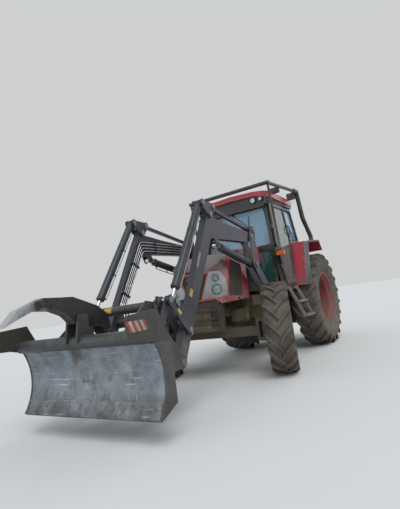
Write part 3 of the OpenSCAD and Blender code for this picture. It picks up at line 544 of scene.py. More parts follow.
for s in (-1, 1):
    shape = bmesh.new()
    clamps = bmesh.new()
    hoses = bmesh.new()
    x = s * (arm_x - arm_half - 0.012)
    for k in range(4):
        route = [side(-0.20, 1.79 + 0.036 * k, x), side(0.715 + 0.012 * k, 1.80 + 0.040 * k, x),
                 side(1.168 + 0.022 * k, 1.110 + 0.015 * k, x)]
        pipe(shape, route, pipe_r, 10, 0.045, 5)
        down = (route[2] - route[1]).normalized()
        bar(shape, route[2] - down * 0.01, route[2] + down * 0.035, 0.0125, 6)
        bar(shape, route[0] + Vector((0, 0.03, 0)), route[0] - Vector((0, 0.01, 0)), 0.0125, 6)
        # short hoses run from the pipes to couplings on the tie tube, and from their rear ends to the mast
        start = route[2] + down * 0.03
        stop = side(1.30, 1.02, x - s * (0.035 + 0.04 * k))
        pipe(hoses, [start, start + down * 0.05, stop + Vector((0, 0.05, 0.06)), stop + Vector((0, 0, 0.03)),
                     stop - Vector((0, 0, 0.028))], hose_r, 10, 0.05, 5)
        rear = route[0] + Vector((0, 0.02, 0))
        pipe(hoses, [rear, rear + Vector((-s * 0.008, 0.05, 0)), side(-0.34, 1.765 + 0.03 * k, s * 0.447),
                     side(-0.40, 1.73 + 0.02 * k, s * 0.440)], hose_r, 10, 0.03, 4)
    for start, end in clamp_ends:
        a, b = side(*start), side(*end)
        plate(clamps, strip(a, b, 0.016), s * (arm_x - 0.0447), s * (arm_x - 0.068))
        for t in (0.06, 0.94):
            v = a.lerp(b, t)
            hex_head(clamps, Vector((s * (arm_x - 0.067), v.y, v.z)), Vector((-s, 0, 0)), 0.009, 0.006)
    block(clamps, (x - s * 0.01, 1.275, 0.978), (x - s * 0.18, 1.325, 0.996))
    arm_side = "r" if s < 0 else "l"
    new_piece("arm_pipes_" + arm_side, shape, pipe_steel, "booms", smooth=50)
    new_piece("pipe_clamps_" + arm_side, clamps, black_paint, "booms", 0.002)
    new_piece("arm_hoses_" + arm_side, hoses, hose_rubber, "booms", smooth=60)


# Hood and headlamps
# The hood is one red cover hinged before the windscreen, with its nose painted dark grey as shade, slats in
# its mouth and wire mesh in its side openings. Each corner has a silver frame with two lamps of ribbed glass
# over bowls with painted glints.
def slope(tree, first, second, factor):
    # first + factor * second, not clamped
    return shader_node(tree, "Math", {0: second, 1: factor, 2: first}, operation="MULTIPLY_ADD").outputs[0]


def overlay(material, mask, colour, strength=1.0):
    # paints colour over the material's own colour where the mask is 1
    tree = material.node_tree
    shader = tree.nodes["Principled BSDF"]
    under = shader.inputs["Base Color"].links[0].from_socket
    part = calc(tree, "MULTIPLY", mask(tree), strength)
    tree.links.new(tint(tree, part, under, colour), shader.inputs["Base Color"])


def nose_shade_mask(tree):
    # painted shade on the panel above the lamps, in front of a line that leans back
    forward = slope(tree, slope(tree, 0.0, axis_value(tree, "Z"), 0.30), axis_value(tree, "Y"), -1.0)
    front = ramp(tree, forward, 0.827, 0.831)
    high = ramp(tree, axis_value(tree, "Z"), 1.405, 1.411)
    return calc(tree, "MULTIPLY", front, high)


hood_paint = weathered("hood_paint", (0.50, 0.014, 0.030), (0.40, 0.02, 0.03), dry_dust, 1.45, 0.7, 0.14,
                       (0.20, 0.38), coat=0.5, edge=(0.34, 0.12, 0.10), edge_width=0.004)
# the nose panel's dark grey-brown is painted shade over the red paint
overlay(hood_paint, nose_shade_mask, (0.13, 0.11, 0.10), 0.92)
nodes["hood"].data.materials[0] = hood_paint
soften(nodes["hood"], 0.006, 3)

# opening in the hood's side, forward and up
side_mouth = [(0.118, 1.066), (-0.262, 1.042), (-0.296, 1.078), (-0.342, 1.430), (-0.326, 1.492),
              (-0.064, 1.564), (-0.018, 1.548), (0.070, 1.300), (0.128, 1.112)]


def crossings(outline, index, value):
    # where a straight line at one coordinate enters and leaves an outline
    found = []
    for i, p in enumerate(outline):
        q = outline[(i + 1) % len(outline)]
        if (p[index] - value) * (q[index] - value) < 0:
            t = (value - p[index]) / (q[index] - p[index])
            found.append(p[1 - index] + t * (q[1 - index] - p[1 - index]))
    return sorted(found)


def closed_line(points):
    middle = (points[0] + points[-1]) / 2
    return [middle] + points + [middle]


mesh_wire = weathered("mesh_wire", (0.05, 0.047, 0.042), (0.09, 0.08, 0.068), dry_dust, 1.9, 1.0, 0.5,
                      (0.5, 0.8), relief=0.0004)
nodes["grille"].data.materials[0] = weathered("grille_black", (0.013, 0.012, 0.011), (0.03, 0.026, 0.02),
                                              forest_mud, 1.6, 0.8, 0.5, (0.6, 0.8))
wire_gap = 0.0138
wire_r = 0.0013
upright_x, level_x = 0.3735, 0.3755
tuck = 0.006
shape = bmesh.new()
rims = bmesh.new()
for s in (-1, 1):
    for i in range(34):
        f = -0.335 + wire_gap * i
        ends = crossings(side_mouth, 0, f)
        for low, high in zip(ends[::2], ends[1::2]):
            bar(shape, side(f, low - tuck, s * upright_x), side(f, high + tuck, s * upright_x), wire_r, 4)
    for i in range(37):
        z = 1.05 + wire_gap * i
        ends = crossings(side_mouth, 1, z)
        for low, high in zip(ends[::2], ends[1::2]):
            bar(shape, side(low - tuck, z, s * level_x), side(high + tuck, z, s * level_x), wire_r, 4)
    edge_line = [side(f, z, s * 0.3805) for f, z in side_mouth]
    pipe(rims, closed_line(edge_line), 0.006, 8, 0.02, 4)
# upright wires behind the slats of the nose, whose mouth narrows downwards
for i in range(31):
    x = -0.225 + 0.015 * i
    low = 1.066 if abs(x) < 0.085 else 1.062 + (abs(x) - 0.085) * 2.358
    if low < 1.375:
        bar(shape, side(0.3425, low, x), side(0.3425, 1.384, x), wire_r, 4)
new_piece("hood_mesh", shape, mesh_wire, "hood")
new_piece("hood_rolled_edges", rims, hood_paint, "hood", smooth=60)

lamp_silver = weathered("lamp_silver", (0.50, 0.53, 0.56), (0.38, 0.41, 0.44), dry_dust, 1.3, 1.0, 0.25,
                        (0.25, 0.45), metal=0.35, edge=(0.7, 0.7, 0.7))
lamp_bowl, tree, bowl = finish_nodes("lamp_bowl")
# each facet of the bowls is painted with a pale greenish glint at its middle that darkens to its edges, as
# painted reflections
facets = shader_node(tree, "TexVoronoi", {"Scale": 55.0})
facet_glint = ramp(tree, facets.outputs["Distance"], 0.0, 0.7)
tree.links.new(tint(tree, facet_glint, (0.75, 0.82, 0.82), (0.28, 0.36, 0.36)), bowl.inputs["Base Color"])
bowl.inputs["Metallic"].default_value = 0.85
bowl.inputs["Roughness"].default_value = 0.22
lamp_glass = clear_glass("lamp_glass", (0.78, 0.90, 0.90), 0.95, 0.02)
tree = lamp_glass.node_tree
ribs = shader_node(tree, "TexWave", {"Scale": 40.0})
bump(tree, tree.nodes["Principled BSDF"], ribs.outputs["Fac"], 0.5, 0.0015)
nodes["headlights"].data.materials[0] = lamp_silver
soften(nodes["headlights"], 0.0015, 2)


def facing(point, ahead):
    # places a turned piece at a point, with its axle along a direction
    return Matrix.Translation(point) @ ahead.to_track_quat("X", "Z").to_matrix().to_4x4()


def toward(x, f, z, direction):
    # the direction is [left, forward, up]
    return facing(side(f, z, x), Vector((direction[0], -direction[1], direction[2])).normalized())


rings = bmesh.new()
bowls = bmesh.new()
covers = bmesh.new()
lean_in = math.radians(52)
for s in (-1, 1):
    for z, r in ((1.172, 0.062), (1.315, 0.043)):
        place = toward(s * 0.230, 0.200, z, (s * math.cos(lean_in), math.sin(lean_in), 0))
        turned(rings, [(r + 0.004, 0.1588), (r + 0.004, 0.164), (r - 0.001, 0.168), (r - 0.005, 0.167),
                       (r - 0.006, 0.1588)], place, 48)
        turned(bowls, [(0.0004, 0.1592), (r * 0.22, 0.1596), (r * 0.30, 0.1632), (r * 0.36, 0.1600),
                       (r * 0.7, 0.1612), (r - 0.0065, 0.1648), (r - 0.0065, 0.1590),
                       (0.0004, 0.1590)], place, 40)
        turned(covers, [(0.0004, 0.1722), (r * 0.4, 0.1716), (r * 0.75, 0.1698), (r - 0.0052, 0.1668),
                        (r - 0.0056, 0.1655), (r * 0.75, 0.1684), (r * 0.4, 0.1701),
                        (0.0004, 0.1706)], place, 40)
new_piece("headlamp_rings", rings, black_paint, "hood", smooth=50)
new_piece("headlamp_bowls", bowls, lamp_bowl, "hood", smooth=50)
new_piece("headlamp_glass", covers, lamp_glass, "hood", smooth=50)

# catches where the hood meets the nose cover, and the nose cover's bolts
shape = bmesh.new()
for s in (-1, 1):
    block(shape, (s * 0.332, 0.20, 1.028), (s * 0.3825, 0.23, 1.036))
    plate(shape, [(-0.18, 1.000), (-0.12, 1.000), (-0.12, 1.030), (-0.18, 1.030)], s * 0.3803, s * 0.388)
    hex_head(shape, side(-0.15, 1.015, s * 0.387), Vector((s, 0, 0)), 0.009, 0.008)
new_piece("hood_catches", shape, black_paint, "hood", 0.002)
soften(nodes["nose_cover"], 0.003, 2)
nose_black = weathered("nose_black", (0.010, 0.010, 0.011), (0.018, 0.017, 0.016), forest_mud, 1.3, 0.6, 0.16,
                       (0.4, 0.65), edge=(0.09, 0.085, 0.08))
nodes["nose_cover"].data.materials[0] = nose_black
shape = bmesh.new()
for x in (-0.30, -0.12, 0.12, 0.30):
    for z in (0.911, 0.806, 0.666):
        hex_head(shape, side(0.3935, z, x), Vector((0, -1, 0)), 0.009, 0.007)
for s in (-1, 1):
    for f, z in ((0.36, 0.99), (0.27, 0.99), (0.36, 0.70), (0.27, 0.70)):
        bar(shape, side(f, z, s * 0.3345), side(f, z, s * 0.3375), 0.014, 16)
        hex_head(shape, side(f, z, s * 0.337), Vector((s, 0, 0)), 0.009, 0.007)
new_piece("nose_bolts", shape, casting, "chassis")


# Engine sides
# Cast iron block with pressed boxes and canister filters beside it, grimy with oil and yellow-brown dust.
# Rubber hoses run between them and the block.
oily_dust = (0.20, 0.155, 0.085)
grimy_iron = weathered("grimy_iron", (0.055, 0.046, 0.032), (0.09, 0.073, 0.045), oily_dust, 1.4, 0.4, 0.35,
                       (0.5, 0.8), relief=0.003)
for name in ("engine_block", "chassis"):
    nodes[name].data.materials[0] = grimy_iron
for name in ("chassis", "front_axle", "engine_block", "knuckle_l", "knuckle_r"):
    soften(nodes[name], 0.006, 2)
filter_paint = weathered("filter_paint", (0.17, 0.15, 0.06), (0.11, 0.095, 0.045), oily_dust, 1.2, 0.3, 0.35,
                         (0.35, 0.6))
filter_x, filter_f, filter_z = 0.255, -0.52, 0.69
# each hose is its radius, sides, bend and route, whose points are [forward, height, distance from the middle]
engine_hose_routes = [
    (0.013, 12, 0.06, [(-0.47, 0.855, 0.255), (-0.44, 0.93, 0.262), (-0.36, 0.965, 0.25),
                       (-0.30, 1.02, 0.215), (-0.29, 1.06, 0.184)]),
    (0.011, 12, 0.06, [(-0.57, 0.855, 0.255), (-0.60, 0.96, 0.255), (-0.64, 1.05, 0.22),
                       (-0.66, 1.08, 0.184)]),
    (0.008, 10, 0.05, [(-0.20, 0.86, 0.26), (-0.17, 0.93, 0.265), (-0.21, 1.00, 0.24),
                       (-0.24, 1.03, 0.184)]),
]
shape = bmesh.new()
cans = bmesh.new()
hoses = bmesh.new()
for s in (-1, 1):
    axle = toward(s * filter_x, filter_f, filter_z, (0, 0, 1))
    turned(cans, [(0.0004, 0.190), (0.050, 0.190), (0.0575, 0.184), (0.0575, 0.172), (0.0555, 0.168),
                  (0.0555, 0.03), (0.052, -0.004), (0.040, -0.012), (0.0004, -0.014),
                  (0.0004, 0.0)], axle, 40)
    bar(cans, side(filter_f, 0.672, s * filter_x), side(filter_f, 0.655, s * filter_x), 0.011, 6)
    # lid of the side box with two straps and their screws
    block(shape, (s * 0.2045, -0.178, 0.849), (s * 0.3065, -0.412, 0.862))
    for f in (-0.235, -0.355):
        block(shape, (s * 0.3045, f + 0.010, 0.700), (s * 0.310, f - 0.010, 0.862))
        for z in (0.83, 0.73):
            hex_head(shape, side(f, z, s * 0.309), Vector((s, 0, 0)), 0.008, 0.006)
    # ribs, cover and bolts of the engine's side
    for f in (-0.20, -0.33, -0.46, -0.59, -0.72, -0.85):
        block(shape, (s * 0.184, f, 0.86), (s * 0.197, f - 0.022, 1.25))
    block(shape, (s * 0.184, -0.17, 1.20), (s * 0.205, -0.88, 1.245))
    for i in range(9):
        hex_head(shape, side(-0.19 - 0.084 * i, 1.222, s * 0.204), Vector((s, 0, 0)), 0.011, 0.009)
    for radius, count, bend, route in engine_hose_routes:
        pipe(hoses, [side(f, z, s * x) for f, z, x in route], radius, count, bend, 5)
new_piece("engine_trim", shape, grimy_iron, "chassis", 0.003)
new_piece("filter_cans", cans, filter_paint, "chassis", 0.001, 40)
new_piece("engine_hoses", hoses, hose_rubber, "chassis", smooth=60)


# Cab
# Welded black box-section cab with glued glass in rubber seals, and a red moulded roof on a black visor.
# The doors hang on pins at the front posts. Their handles, the wiper and the lamps are screwed on.
line_lean = math.radians(5)
cab_half = 0.690
floor_z = 1.080


def on_side(s, u, f, z):
    # the cab's sides lean inwards from the floor up; u counts outwards from the side's face
    leaning = Matrix.Translation(Vector((cab_half, line_y, floor_z))) @ Matrix.Rotation(-line_lean, 4, "Y")
    return Matrix.Scale(s, 4, Vector((1, 0, 0))) @ leaning @ Vector((u, -f, z - floor_z))


cab_black = weathered("cab_black", (0.011, 0.012, 0.014), (0.020, 0.021, 0.023), dry_dust, 1.5, 0.9, 0.07,
                      (0.25, 0.5), edge=(0.07, 0.07, 0.075), coat=0.2)
for name in ("cab_frame", "cab_side_l", "cab_side_r", "cab_top", "door_l", "door_r"):
    nodes[name].data.materials[0] = cab_black
    soften(nodes[name], 0.005, 2)


def low_pane(tree):
    # the windscreen's lower pane is in shade and looks teal
    return ramp(tree, axis_value(tree, "Z"), 1.74, 1.72)


overlay(windscreen_glass, low_pane, (0.05, 0.16, 0.15))


def pane_sheen(tree):
    # painted sheen: pale blue streaks painted as a reflection on the glass, thicker towards the lower edge
    streak = ramp(tree, speckle(tree, 5.0, 6.0, (1.0, 1.0, 0.35)), 0.52, 0.75)
    return calc(tree, "MULTIPLY", streak, ramp(tree, axis_value(tree, "Z"), 2.4, 1.8, 0.1, 0.6))


overlay(windscreen_glass, pane_sheen, (0.55, 0.70, 0.78))

rubber_seal = weathered("rubber_seal", (0.010, 0.010, 0.010), (0.02, 0.02, 0.02), dry_dust, 1.4, 0.9, 0.2,
                        (0.5, 0.7), relief=0.0004)
door_window = [(-1.265, 1.200), (-1.220, 1.770), (-1.315, 2.410), (-1.830, 2.410), (-1.828, 1.870),
               (-1.585, 1.200)]
door_outline = [(-1.200, 1.126), (-1.156, 1.770), (-1.259, 2.464), (-1.874, 2.464), (-1.872, 1.862),
                (-1.605, 1.126)]
rear_window = [(-1.930, 1.880), (-1.925, 2.440), (-2.330, 2.440), (-2.365, 1.890)]
lower_pane = [(0.300, 1.160), (0.558, 1.160), (0.558, 1.685), (0.300, 1.685)]
door_grip = [(0.038, -1.853, 1.965), (0.068, -1.853, 1.975), (0.072, -1.853, 2.02), (0.072, -1.853, 2.10),
             (0.038, -1.853, 2.115)]
seals = bmesh.new()
fittings = bmesh.new()
for s in (-1, 1):
    hand = "r" if s < 0 else "l"
    shape = bmesh.new()
    for outline, u, radius in ((door_window, 0.0375, 0.005), (door_outline, 0.0360, 0.004)):
        pipe(shape, closed_line([on_side(s, u, f, z) for f, z in outline]), radius, 8, 0.03, 4)
    new_piece("door_seals_" + hand, shape, rubber_seal, "door_" + hand, smooth=60)
    # handle and lock on the rear post of the door, and the pins' ends and screws of its hinges
    shape = bmesh.new()
    pipe(shape, [on_side(s, u, f, z) for u, f, z in door_grip], 0.009, 10, 0.02, 4)
    bar(shape, on_side(s, 0.038, -1.853, 1.93), on_side(s, 0.048, -1.853, 1.93), 0.013, 16)
    bar(shape, on_side(s, 0.038, -1.853, 1.93), on_side(s, 0.052, -1.853, 1.93), 0.006, 10)
    for z in (1.42, 2.07):
        bar(shape, on_side(s, 0.025, -1.146, z - 0.052), on_side(s, 0.025, -1.146, z - 0.058), 0.012, 12)
        for f in (-1.190, -1.176):
            bar(shape, on_side(s, 0.039, f, z - 0.02), on_side(s, 0.045, f, z - 0.02), 0.006, 6)
    new_piece("door_fittings_" + hand, shape, trim_plastic, "door_" + hand, 0.0015, 50)
    pipe(seals, closed_line([on_side(s, 0.0005, f, z) for f, z in rear_window]), 0.007, 8, 0.03, 4)
    pipe(seals, closed_line([side(-1.178, z, s * x) for x, z in lower_pane]), 0.006, 8, 0.02, 4)
# windscreen seal, leaning back with the glass
screen_lean = math.radians(3.5)
screen = []
for s, z in ((-1, 1.775), (1, 1.775), (1, 2.400), (-1, 2.400)):
    wide = cab_half - 0.0602 - (z - floor_z) * math.tan(line_lean)
    screen.append(side(-1.1895 - (z - 1.770) * math.tan(screen_lean), z, s * wide))
pipe(seals, closed_line(screen), 0.008, 8, 0.04, 4)
new_piece("window_seals", seals, rubber_seal, "chassis", smooth=60)
# wiper with its motor cap under the visor
hub = side(-1.216, 2.385, -0.05)
tip = side(-1.2065, 2.12, 0.22)
behind, before = Vector((0, 0.010, 0)), Vector((0, -0.022, 0))
bar(fittings, hub + behind, hub - 3 * behind, 0.017, 20)
pipe(fittings, [hub + before, hub.lerp(tip, 0.5) + before, tip - behind], 0.006, 8, 0.05, 4)
bar(fittings, side(-1.2105, 2.31, 0.235), side(-1.196, 1.93, 0.205), 0.006, 6)
new_piece("wiper", fittings, trim_plastic, "chassis", smooth=50)

# seat cushions, armrests, levers and dashboard, seen through the glass
seat_cloth = weathered("seat_cloth", (0.045, 0.048, 0.055), (0.07, 0.072, 0.08), dry_dust, 1.2, 1.0, 0.2,
                       (0.8, 0.95), relief=0.001)
shape = bmesh.new()
block(shape, (-0.235, -1.80, 1.488), (0.235, -2.14, 1.560))
block(shape, (-0.225, -2.150, 1.55), (0.225, -2.075, 2.02))
for s in (-1, 1):
    block(shape, (s * 0.245, -1.86, 1.66), (s * 0.300, -2.13, 1.70))
    block(shape, (s * 0.262, -2.10, 1.50), (s * 0.285, -2.13, 1.66))
new_piece("seat_cushions", shape, seat_cloth, "chassis", 0.025, 60, 4)
shape = bmesh.new()
dashboard = [(-1.262, 1.640), (-1.262, 1.655), (-1.300, 1.760), (-1.400, 1.742), (-1.452, 1.640)]
plate(shape, dashboard, -0.20, 0.20)
block(shape, (0.28, -1.70, 1.112), (0.40, -2.05, 1.50))
for x, f in ((0.31, -1.76), (0.34, -1.83), (0.37, -1.76)):
    bar(shape, side(f, 1.498, x), side(f + 0.02, 1.63, x), 0.006, 10)
    bar(shape, side(f + 0.02, 1.62, x), side(f + 0.026, 1.665, x), 0.014, 14)
new_piece("cab_controls", shape, trim_plastic, "chassis", 0.004, 40)
cab_lining = weathered("cab_lining", (0.035, 0.036, 0.04), (0.055, 0.055, 0.06), dry_dust, 1.4, 1.0, 0.15,
                       (0.6, 0.8), relief=0.0006)
nodes["interior"].data.materials[0] = cab_lining
soften(nodes["interior"], 0.006, 3)


# Roof and lamps
# The roof is one red moulding, bonded to the visor and screwed down at its edge. Round lamps with white
# lenses sit in the visor, and amber turn lamps stand out on short arms from the front posts.
roof_red = weathered("roof_red", (0.50, 0.020, 0.040), (0.42, 0.03, 0.045), dry_dust, 0.2, 0.1, 0.22,
                     (0.22, 0.4), coat=0.4)
nodes["roof"].data.materials[0] = roof_red
soften(nodes["roof"], 0.012, 4)
lamp_white = clear_glass("lamp_white", (0.86, 0.90, 0.92), 0.35, 0.08)
lamp_amber = clear_glass("lamp_amber", (0.85, 0.20, 0.03), 0.25, 0.12)
lamp_red = clear_glass("lamp_red", (0.45, 0.01, 0.01), 0.25, 0.12)
nodes["work_lamps"].data.materials[0] = trim_plastic
soften(nodes["work_lamps"], 0.003, 2)
# each lamp is its place across the cab, radius, forward place, height and the way it looks
round_lamps = [(0.385, 0.046, -1.1407, 2.530, 1), (0.515, 0.034, -1.1407, 2.530, 1),
               (0.430, 0.027, -2.442, 2.470, -1)]
seat = 0.0002
rings = bmesh.new()
lenses = bmesh.new()
amber = bmesh.new()
tail = bmesh.new()
for s in (-1, 1):
    for x, r, f, z, ahead in round_lamps:
        place = toward(s * x, f, z, (0, ahead, 0))
        turned(rings, [(r + 0.0035, seat - 0.006), (r + 0.0035, 0.006), (r - 0.002, 0.009),
                       (r - 0.005, 0.008), (r - 0.006, seat)], place, 40)
        turned(lenses, [(0.0004, 0.0105), (r * 0.5, 0.0095), (r - 0.0062, 0.0065), (r - 0.0062, seat),
                        (0.0004, seat)], place, 40)
    block(amber, (s * 0.668, -1.0785, 1.571), (s * 0.7855, -1.064, 1.637))
    block(amber, (s * 0.7853, -1.0785, 1.573), (s * 0.789, -1.114, 1.635))
    block(tail, (s * 0.543, -2.9852, 1.563), (s * 0.647, -2.992, 1.627))
new_piece("lamp_rings", rings, black_paint, "chassis", smooth=50)
new_piece("lamp_lenses", lenses, lamp_white, "chassis", smooth=50)
new_piece("turn_lamps", amber, lamp_amber, "chassis", 0.004, 40, 3)
new_piece("rear_lamps", tail, lamp_red, "chassis", 0.003, 40, 3)
shape = bmesh.new()
for s in (-1, 1):
    for f in (-1.36, -1.70, -2.04, -2.36):
        bar(shape, side(f, 2.598, s * 0.654), side(f, 2.598, s * 0.659), 0.010, 14)
# hatch on the roof with its hinges
block(shape, (-0.24, -1.62, 2.6835), (0.24, -2.10, 2.6960))
for x in (-0.16, 0.16):
    bar(shape, side(-1.612, 2.690, x - 0.03), side(-1.612, 2.690, x + 0.03), 0.007, 10)
new_piece("roof_trim", shape, trim_plastic, "chassis", 0.003, 40)


# Fenders, steps, guard and exhaust
# Pressed red fenders are edged with grey rubber strips on bolts, and a grey ladder hangs from the cab floor.
# The guard is bent from black steel tube, welded and bolted down; the exhaust stack stands beside the cab.
for name in ("fender_l", "fender_r"):
    # the fenders' red paint is shifted towards pink as a painted reflection of the sky
    fender_paint_and_reflection = weathered(name + "_paint", (0.48, 0.022, 0.052), (0.40, 0.035, 0.06), forest_mud, 1.45, 0.9,
                           0.18, (0.24, 0.42), coat=0.35, edge=(0.33, 0.12, 0.11))
    nodes[name].data.materials[0] = fender_paint_and_reflection
    soften(nodes[name], 0.003, 2)
grey_rubber = weathered("grey_rubber", (0.17, 0.18, 0.20), (0.25, 0.26, 0.27), forest_mud, 1.6, 0.9, 0.25,
                        (0.6, 0.8), relief=0.0008)
nodes["fender_edges"].data.materials[0] = grey_rubber
soften(nodes["fender_edges"], 0.003, 2)
step_grey = weathered("step_grey", (0.25, 0.225, 0.20), (0.33, 0.30, 0.27), forest_mud, 1.2, 0.5, 0.35,
                      (0.5, 0.75), edge=(0.40, 0.39, 0.37))
nodes["steps"].data.materials[0] = step_grey
soften(nodes["steps"], 0.004, 3)
fender_line = [(-1.630, 1.070), (-1.890, 1.800), (-2.600, 1.842)]


def along_line(points, gap):
    # evenly spaced points with the direction of the line there
    spots = []
    for a, b in zip(points, points[1:]):
        length = math.dist(a, b)
        count = max(1, int(length / gap))
        for i in range(count):
            t = (i + 0.5) / count
            spots.append((a[0] + (b[0] - a[0]) * t, a[1] + (b[1] - a[1]) * t,
                          (b[0] - a[0]) / length, (b[1] - a[1]) / length))
    return spots


bolt_gap = 0.16
step_gap = 0.0375
bolts = bmesh.new()
beads = bmesh.new()
treads = bmesh.new()
for s in (-1, 1):
    for f, z, df, dz in along_line(fender_line, bolt_gap):
        out = Vector((0, dz, df)) * math.copysign(1.0, df)
        spot = side(f, z, s * 0.852) + out * 0.0002
        bar(bolts, spot, spot + out * 0.003, 0.012, 16)
        hex_head(bolts, spot + out * 0.002, out, 0.008, 0.007)
    bead = [side(f - 0.0065, z - 0.004, s * 0.9402) for f, z in fender_line]
    pipe(beads, bead, 0.0095, 10, 0.05, 5)
    for z, x in ((0.619, 0.870), (0.839, 0.785)):
        for i in range(9):
            f = -1.235 - step_gap * i
            block(treads, (s * (x + 0.006), f, z - 0.002), (s * (x + 0.084), f - 0.010, z + 0.008))
    for f in (-1.2075, -1.5625):
        hex_head(bolts, side(f, 1.056, s * 0.744), Vector((s, 0, 0)), 0.011, 0.008)
new_piece("fender_bolts", bolts, worn_steel, "chassis")
new_piece("fender_beads", beads, grey_rubber, "chassis", smooth=60)
new_piece("step_treads", treads, step_grey, "chassis", 0.001)

guard_black = weathered("guard_black", (0.018, 0.019, 0.022), (0.035, 0.036, 0.04), dry_dust, 2.2, 1.6, 0.22,
                        (0.3, 0.5), edge=(0.12, 0.11, 0.10))
nodes["guard_frame"].data.materials[0] = guard_black
# middle line of one guard tube, forward, height and distance from the middle
guard_line = [(-1.032, 2.722, 0.718), (-2.400, 2.790, 0.740), (-2.490, 2.290, 0.750), (-2.810, 1.970, 0.750),
              (-2.812, 1.885, 0.750)]
bend_reach = 0.17
knees = bmesh.new()
plates = bmesh.new()
for s in (-1, 1):
    # rounded bends drawn over the welded corners of the tubes
    legs = [side(f, z, s * x) for f, z, x in guard_line]
    for k, r in ((1, 0.0412), (2, 0.0415), (3, 0.0415)):
        ends = []
        for other in (legs[k - 1], legs[k + 1]):
            way = other - legs[k]
            ends.append(legs[k] + way.normalized() * min(bend_reach, way.length * 0.45))
        pipe(knees, [ends[0], legs[k], ends[1]], r, 20, 0.03, 6)
    front = side(-1.032, 2.724, s * 0.745)
    bar(knees, front, front + Vector((s * 0.006, 0, 0)), 0.0305, 24)
    # brackets on the roof's edge with two bolts each
    for f in (-1.52, -2.32):
        block(plates, (s * 0.585, f - 0.05, 2.6495), (s * 0.705, f + 0.05, 2.6575))
        for df in (-0.037, 0.037):
            hex_head(plates, side(f + df, 2.657, s * 0.64), Vector((0, 0, 1)), 0.011, 0.009)
    # foot plates on the fenders with four bolts each
    block(plates, (s * 0.688, -2.745, 1.8575), (s * 0.812, -2.875, 1.8655))
    for f in (-2.752, -2.868):
        for x in (0.697, 0.803):
            hex_head(plates, side(f, 1.865, s * x), Vector((0, 0, 1)), 0.009, 0.008)
    for z in (1.668, 1.692):
        hex_head(plates, side(-1.120, z, s * 0.655), Vector((0, -1, 0)), 0.008, 0.007)
new_piece("guard_bends", knees, guard_black, "chassis", smooth=60)
new_piece("guard_plates", plates, guard_black, "chassis", 0.0015)

stack_steel = weathered("stack_steel", (0.05, 0.045, 0.042), (0.12, 0.075, 0.05), dry_dust, 1.6, 1.0, 0.25,
                        (0.5, 0.75), metal=0.3)
nodes["exhaust"].data.materials[0] = stack_steel
stack_x, stack_f, stack_z = -0.560, -1.020, 1.400
stack = bmesh.new()
upright = toward(stack_x, stack_f, stack_z, (0, 0, 1))
turned(stack, [(0.0405, 0.20), (0.064, 0.235), (0.068, 0.245), (0.068, 0.700), (0.064, 0.710),
               (0.0405, 0.745)], upright, 48)
for low, high in ((0.02, 0.05), (0.93, 0.955)):
    turned(stack, [(0.0402, low), (0.046, low), (0.046, high), (0.0402, high)], upright, 32)
# rain flap on its hinge, nearly shut
hinge = side(stack_f - 0.042, 2.406, stack_x)
bar(stack, hinge - Vector((0.018, 0, 0)), hinge + Vector((0.018, 0, 0)), 0.005, 10)
flap = Matrix.Translation(side(stack_f - 0.002, 2.412, stack_x)) @ Matrix.Rotation(math.radians(8), 4, "X")
flap = flap @ Matrix.Rotation(math.radians(-90), 4, "Y")
turned(stack, [(0.0004, 0.003), (0.042, 0.003), (0.042, 0.0), (0.0004, 0.0)], flap, 32)
# three rings of round dimples in the silencer's jacket
for i in range(3):
    centre = side(stack_f, 1.73 + 0.15 * i, stack_x)
    for c, s in around(10):
        out = Vector((c, s, 0))
        bar(stack, centre + out * 0.0675, centre + out * 0.0688, 0.011, 12)
new_piece("exhaust_dressing", stack, stack_steel, "chassis", 0.0008, 40)


# Cylinders
# Welded cylinder tubes have a screwed gland at the rod end, a welded base and two ports fed by a steel pipe.
for name in ("booms", "masts", "cranks", "level_rods", "levers", "links", "tool_frame", "tool_pins"):
    soften(nodes[name], 0.004, 2)


def cylinder_dress(name, body, root, eye, middles, r, start, end, rod_r):
    # start and end are distances along the cylinder from its root pin; the ports are on its underside
    shape = bmesh.new()
    pipes = bmesh.new()
    for middle in middles:
        a = side(root[0], root[1], middle)
        b = side(eye[0], eye[1], middle)
        ahead = (b - a).normalized()
        place = facing(a, ahead)
        turned(shape, [(rod_r + 0.0006, end - 0.03), (r + 0.004, end - 0.03), (r + 0.004, end - 0.004),
                       (r + 0.001, end), (rod_r + 0.006, end + 0.003), (rod_r + 0.005, end + 0.007),
                       (rod_r + 0.0006, end + 0.007)], place, 36)
        turned(shape, [(r - 0.002, start + 0.006), (r + 0.003, start + 0.006), (r + 0.003, start + 0.012),
                       (r - 0.002, start + 0.012)], place, 36)
        out = Vector((1, 0, 0)).cross(ahead).normalized()
        first_port = a + ahead * (start + 0.05)
        last_port = a + ahead * (end - 0.055)
        for p in (first_port, last_port):
            bar(shape, p + out * (r - 0.002), p + out * (r + 0.014), 0.013, 16)
            bar(shape, p + out * (r + 0.012), p + out * (r + 0.024), 0.0105, 6)
        lift = out * (r + 0.034)
        pipe(pipes, [last_port + out * (r + 0.022), last_port + lift, last_port + lift - ahead * 0.05,
                     first_port + lift + ahead * 0.10, first_port + lift + ahead * 0.04], 0.006, 8, 0.02, 4)
        # bands with a stalk that hold the pipe
        for t in (0.33, 0.66):
            p = a + ahead * (start + (end - start) * t)
            turned(shape, [(r - 0.001, -0.008), (r + 0.002, -0.008), (r + 0.002, 0.008), (r - 0.001, 0.008)],
                   facing(p, ahead), 36)
            bar(shape, p + out * (r - 0.002), p + out * (r + 0.042), 0.007, 8)
    new_piece(name + "_fittings", shape, black_paint, body, 0.0008, 40)
    new_piece(name + "_pipes", pipes, pipe_steel, body, smooth=60)


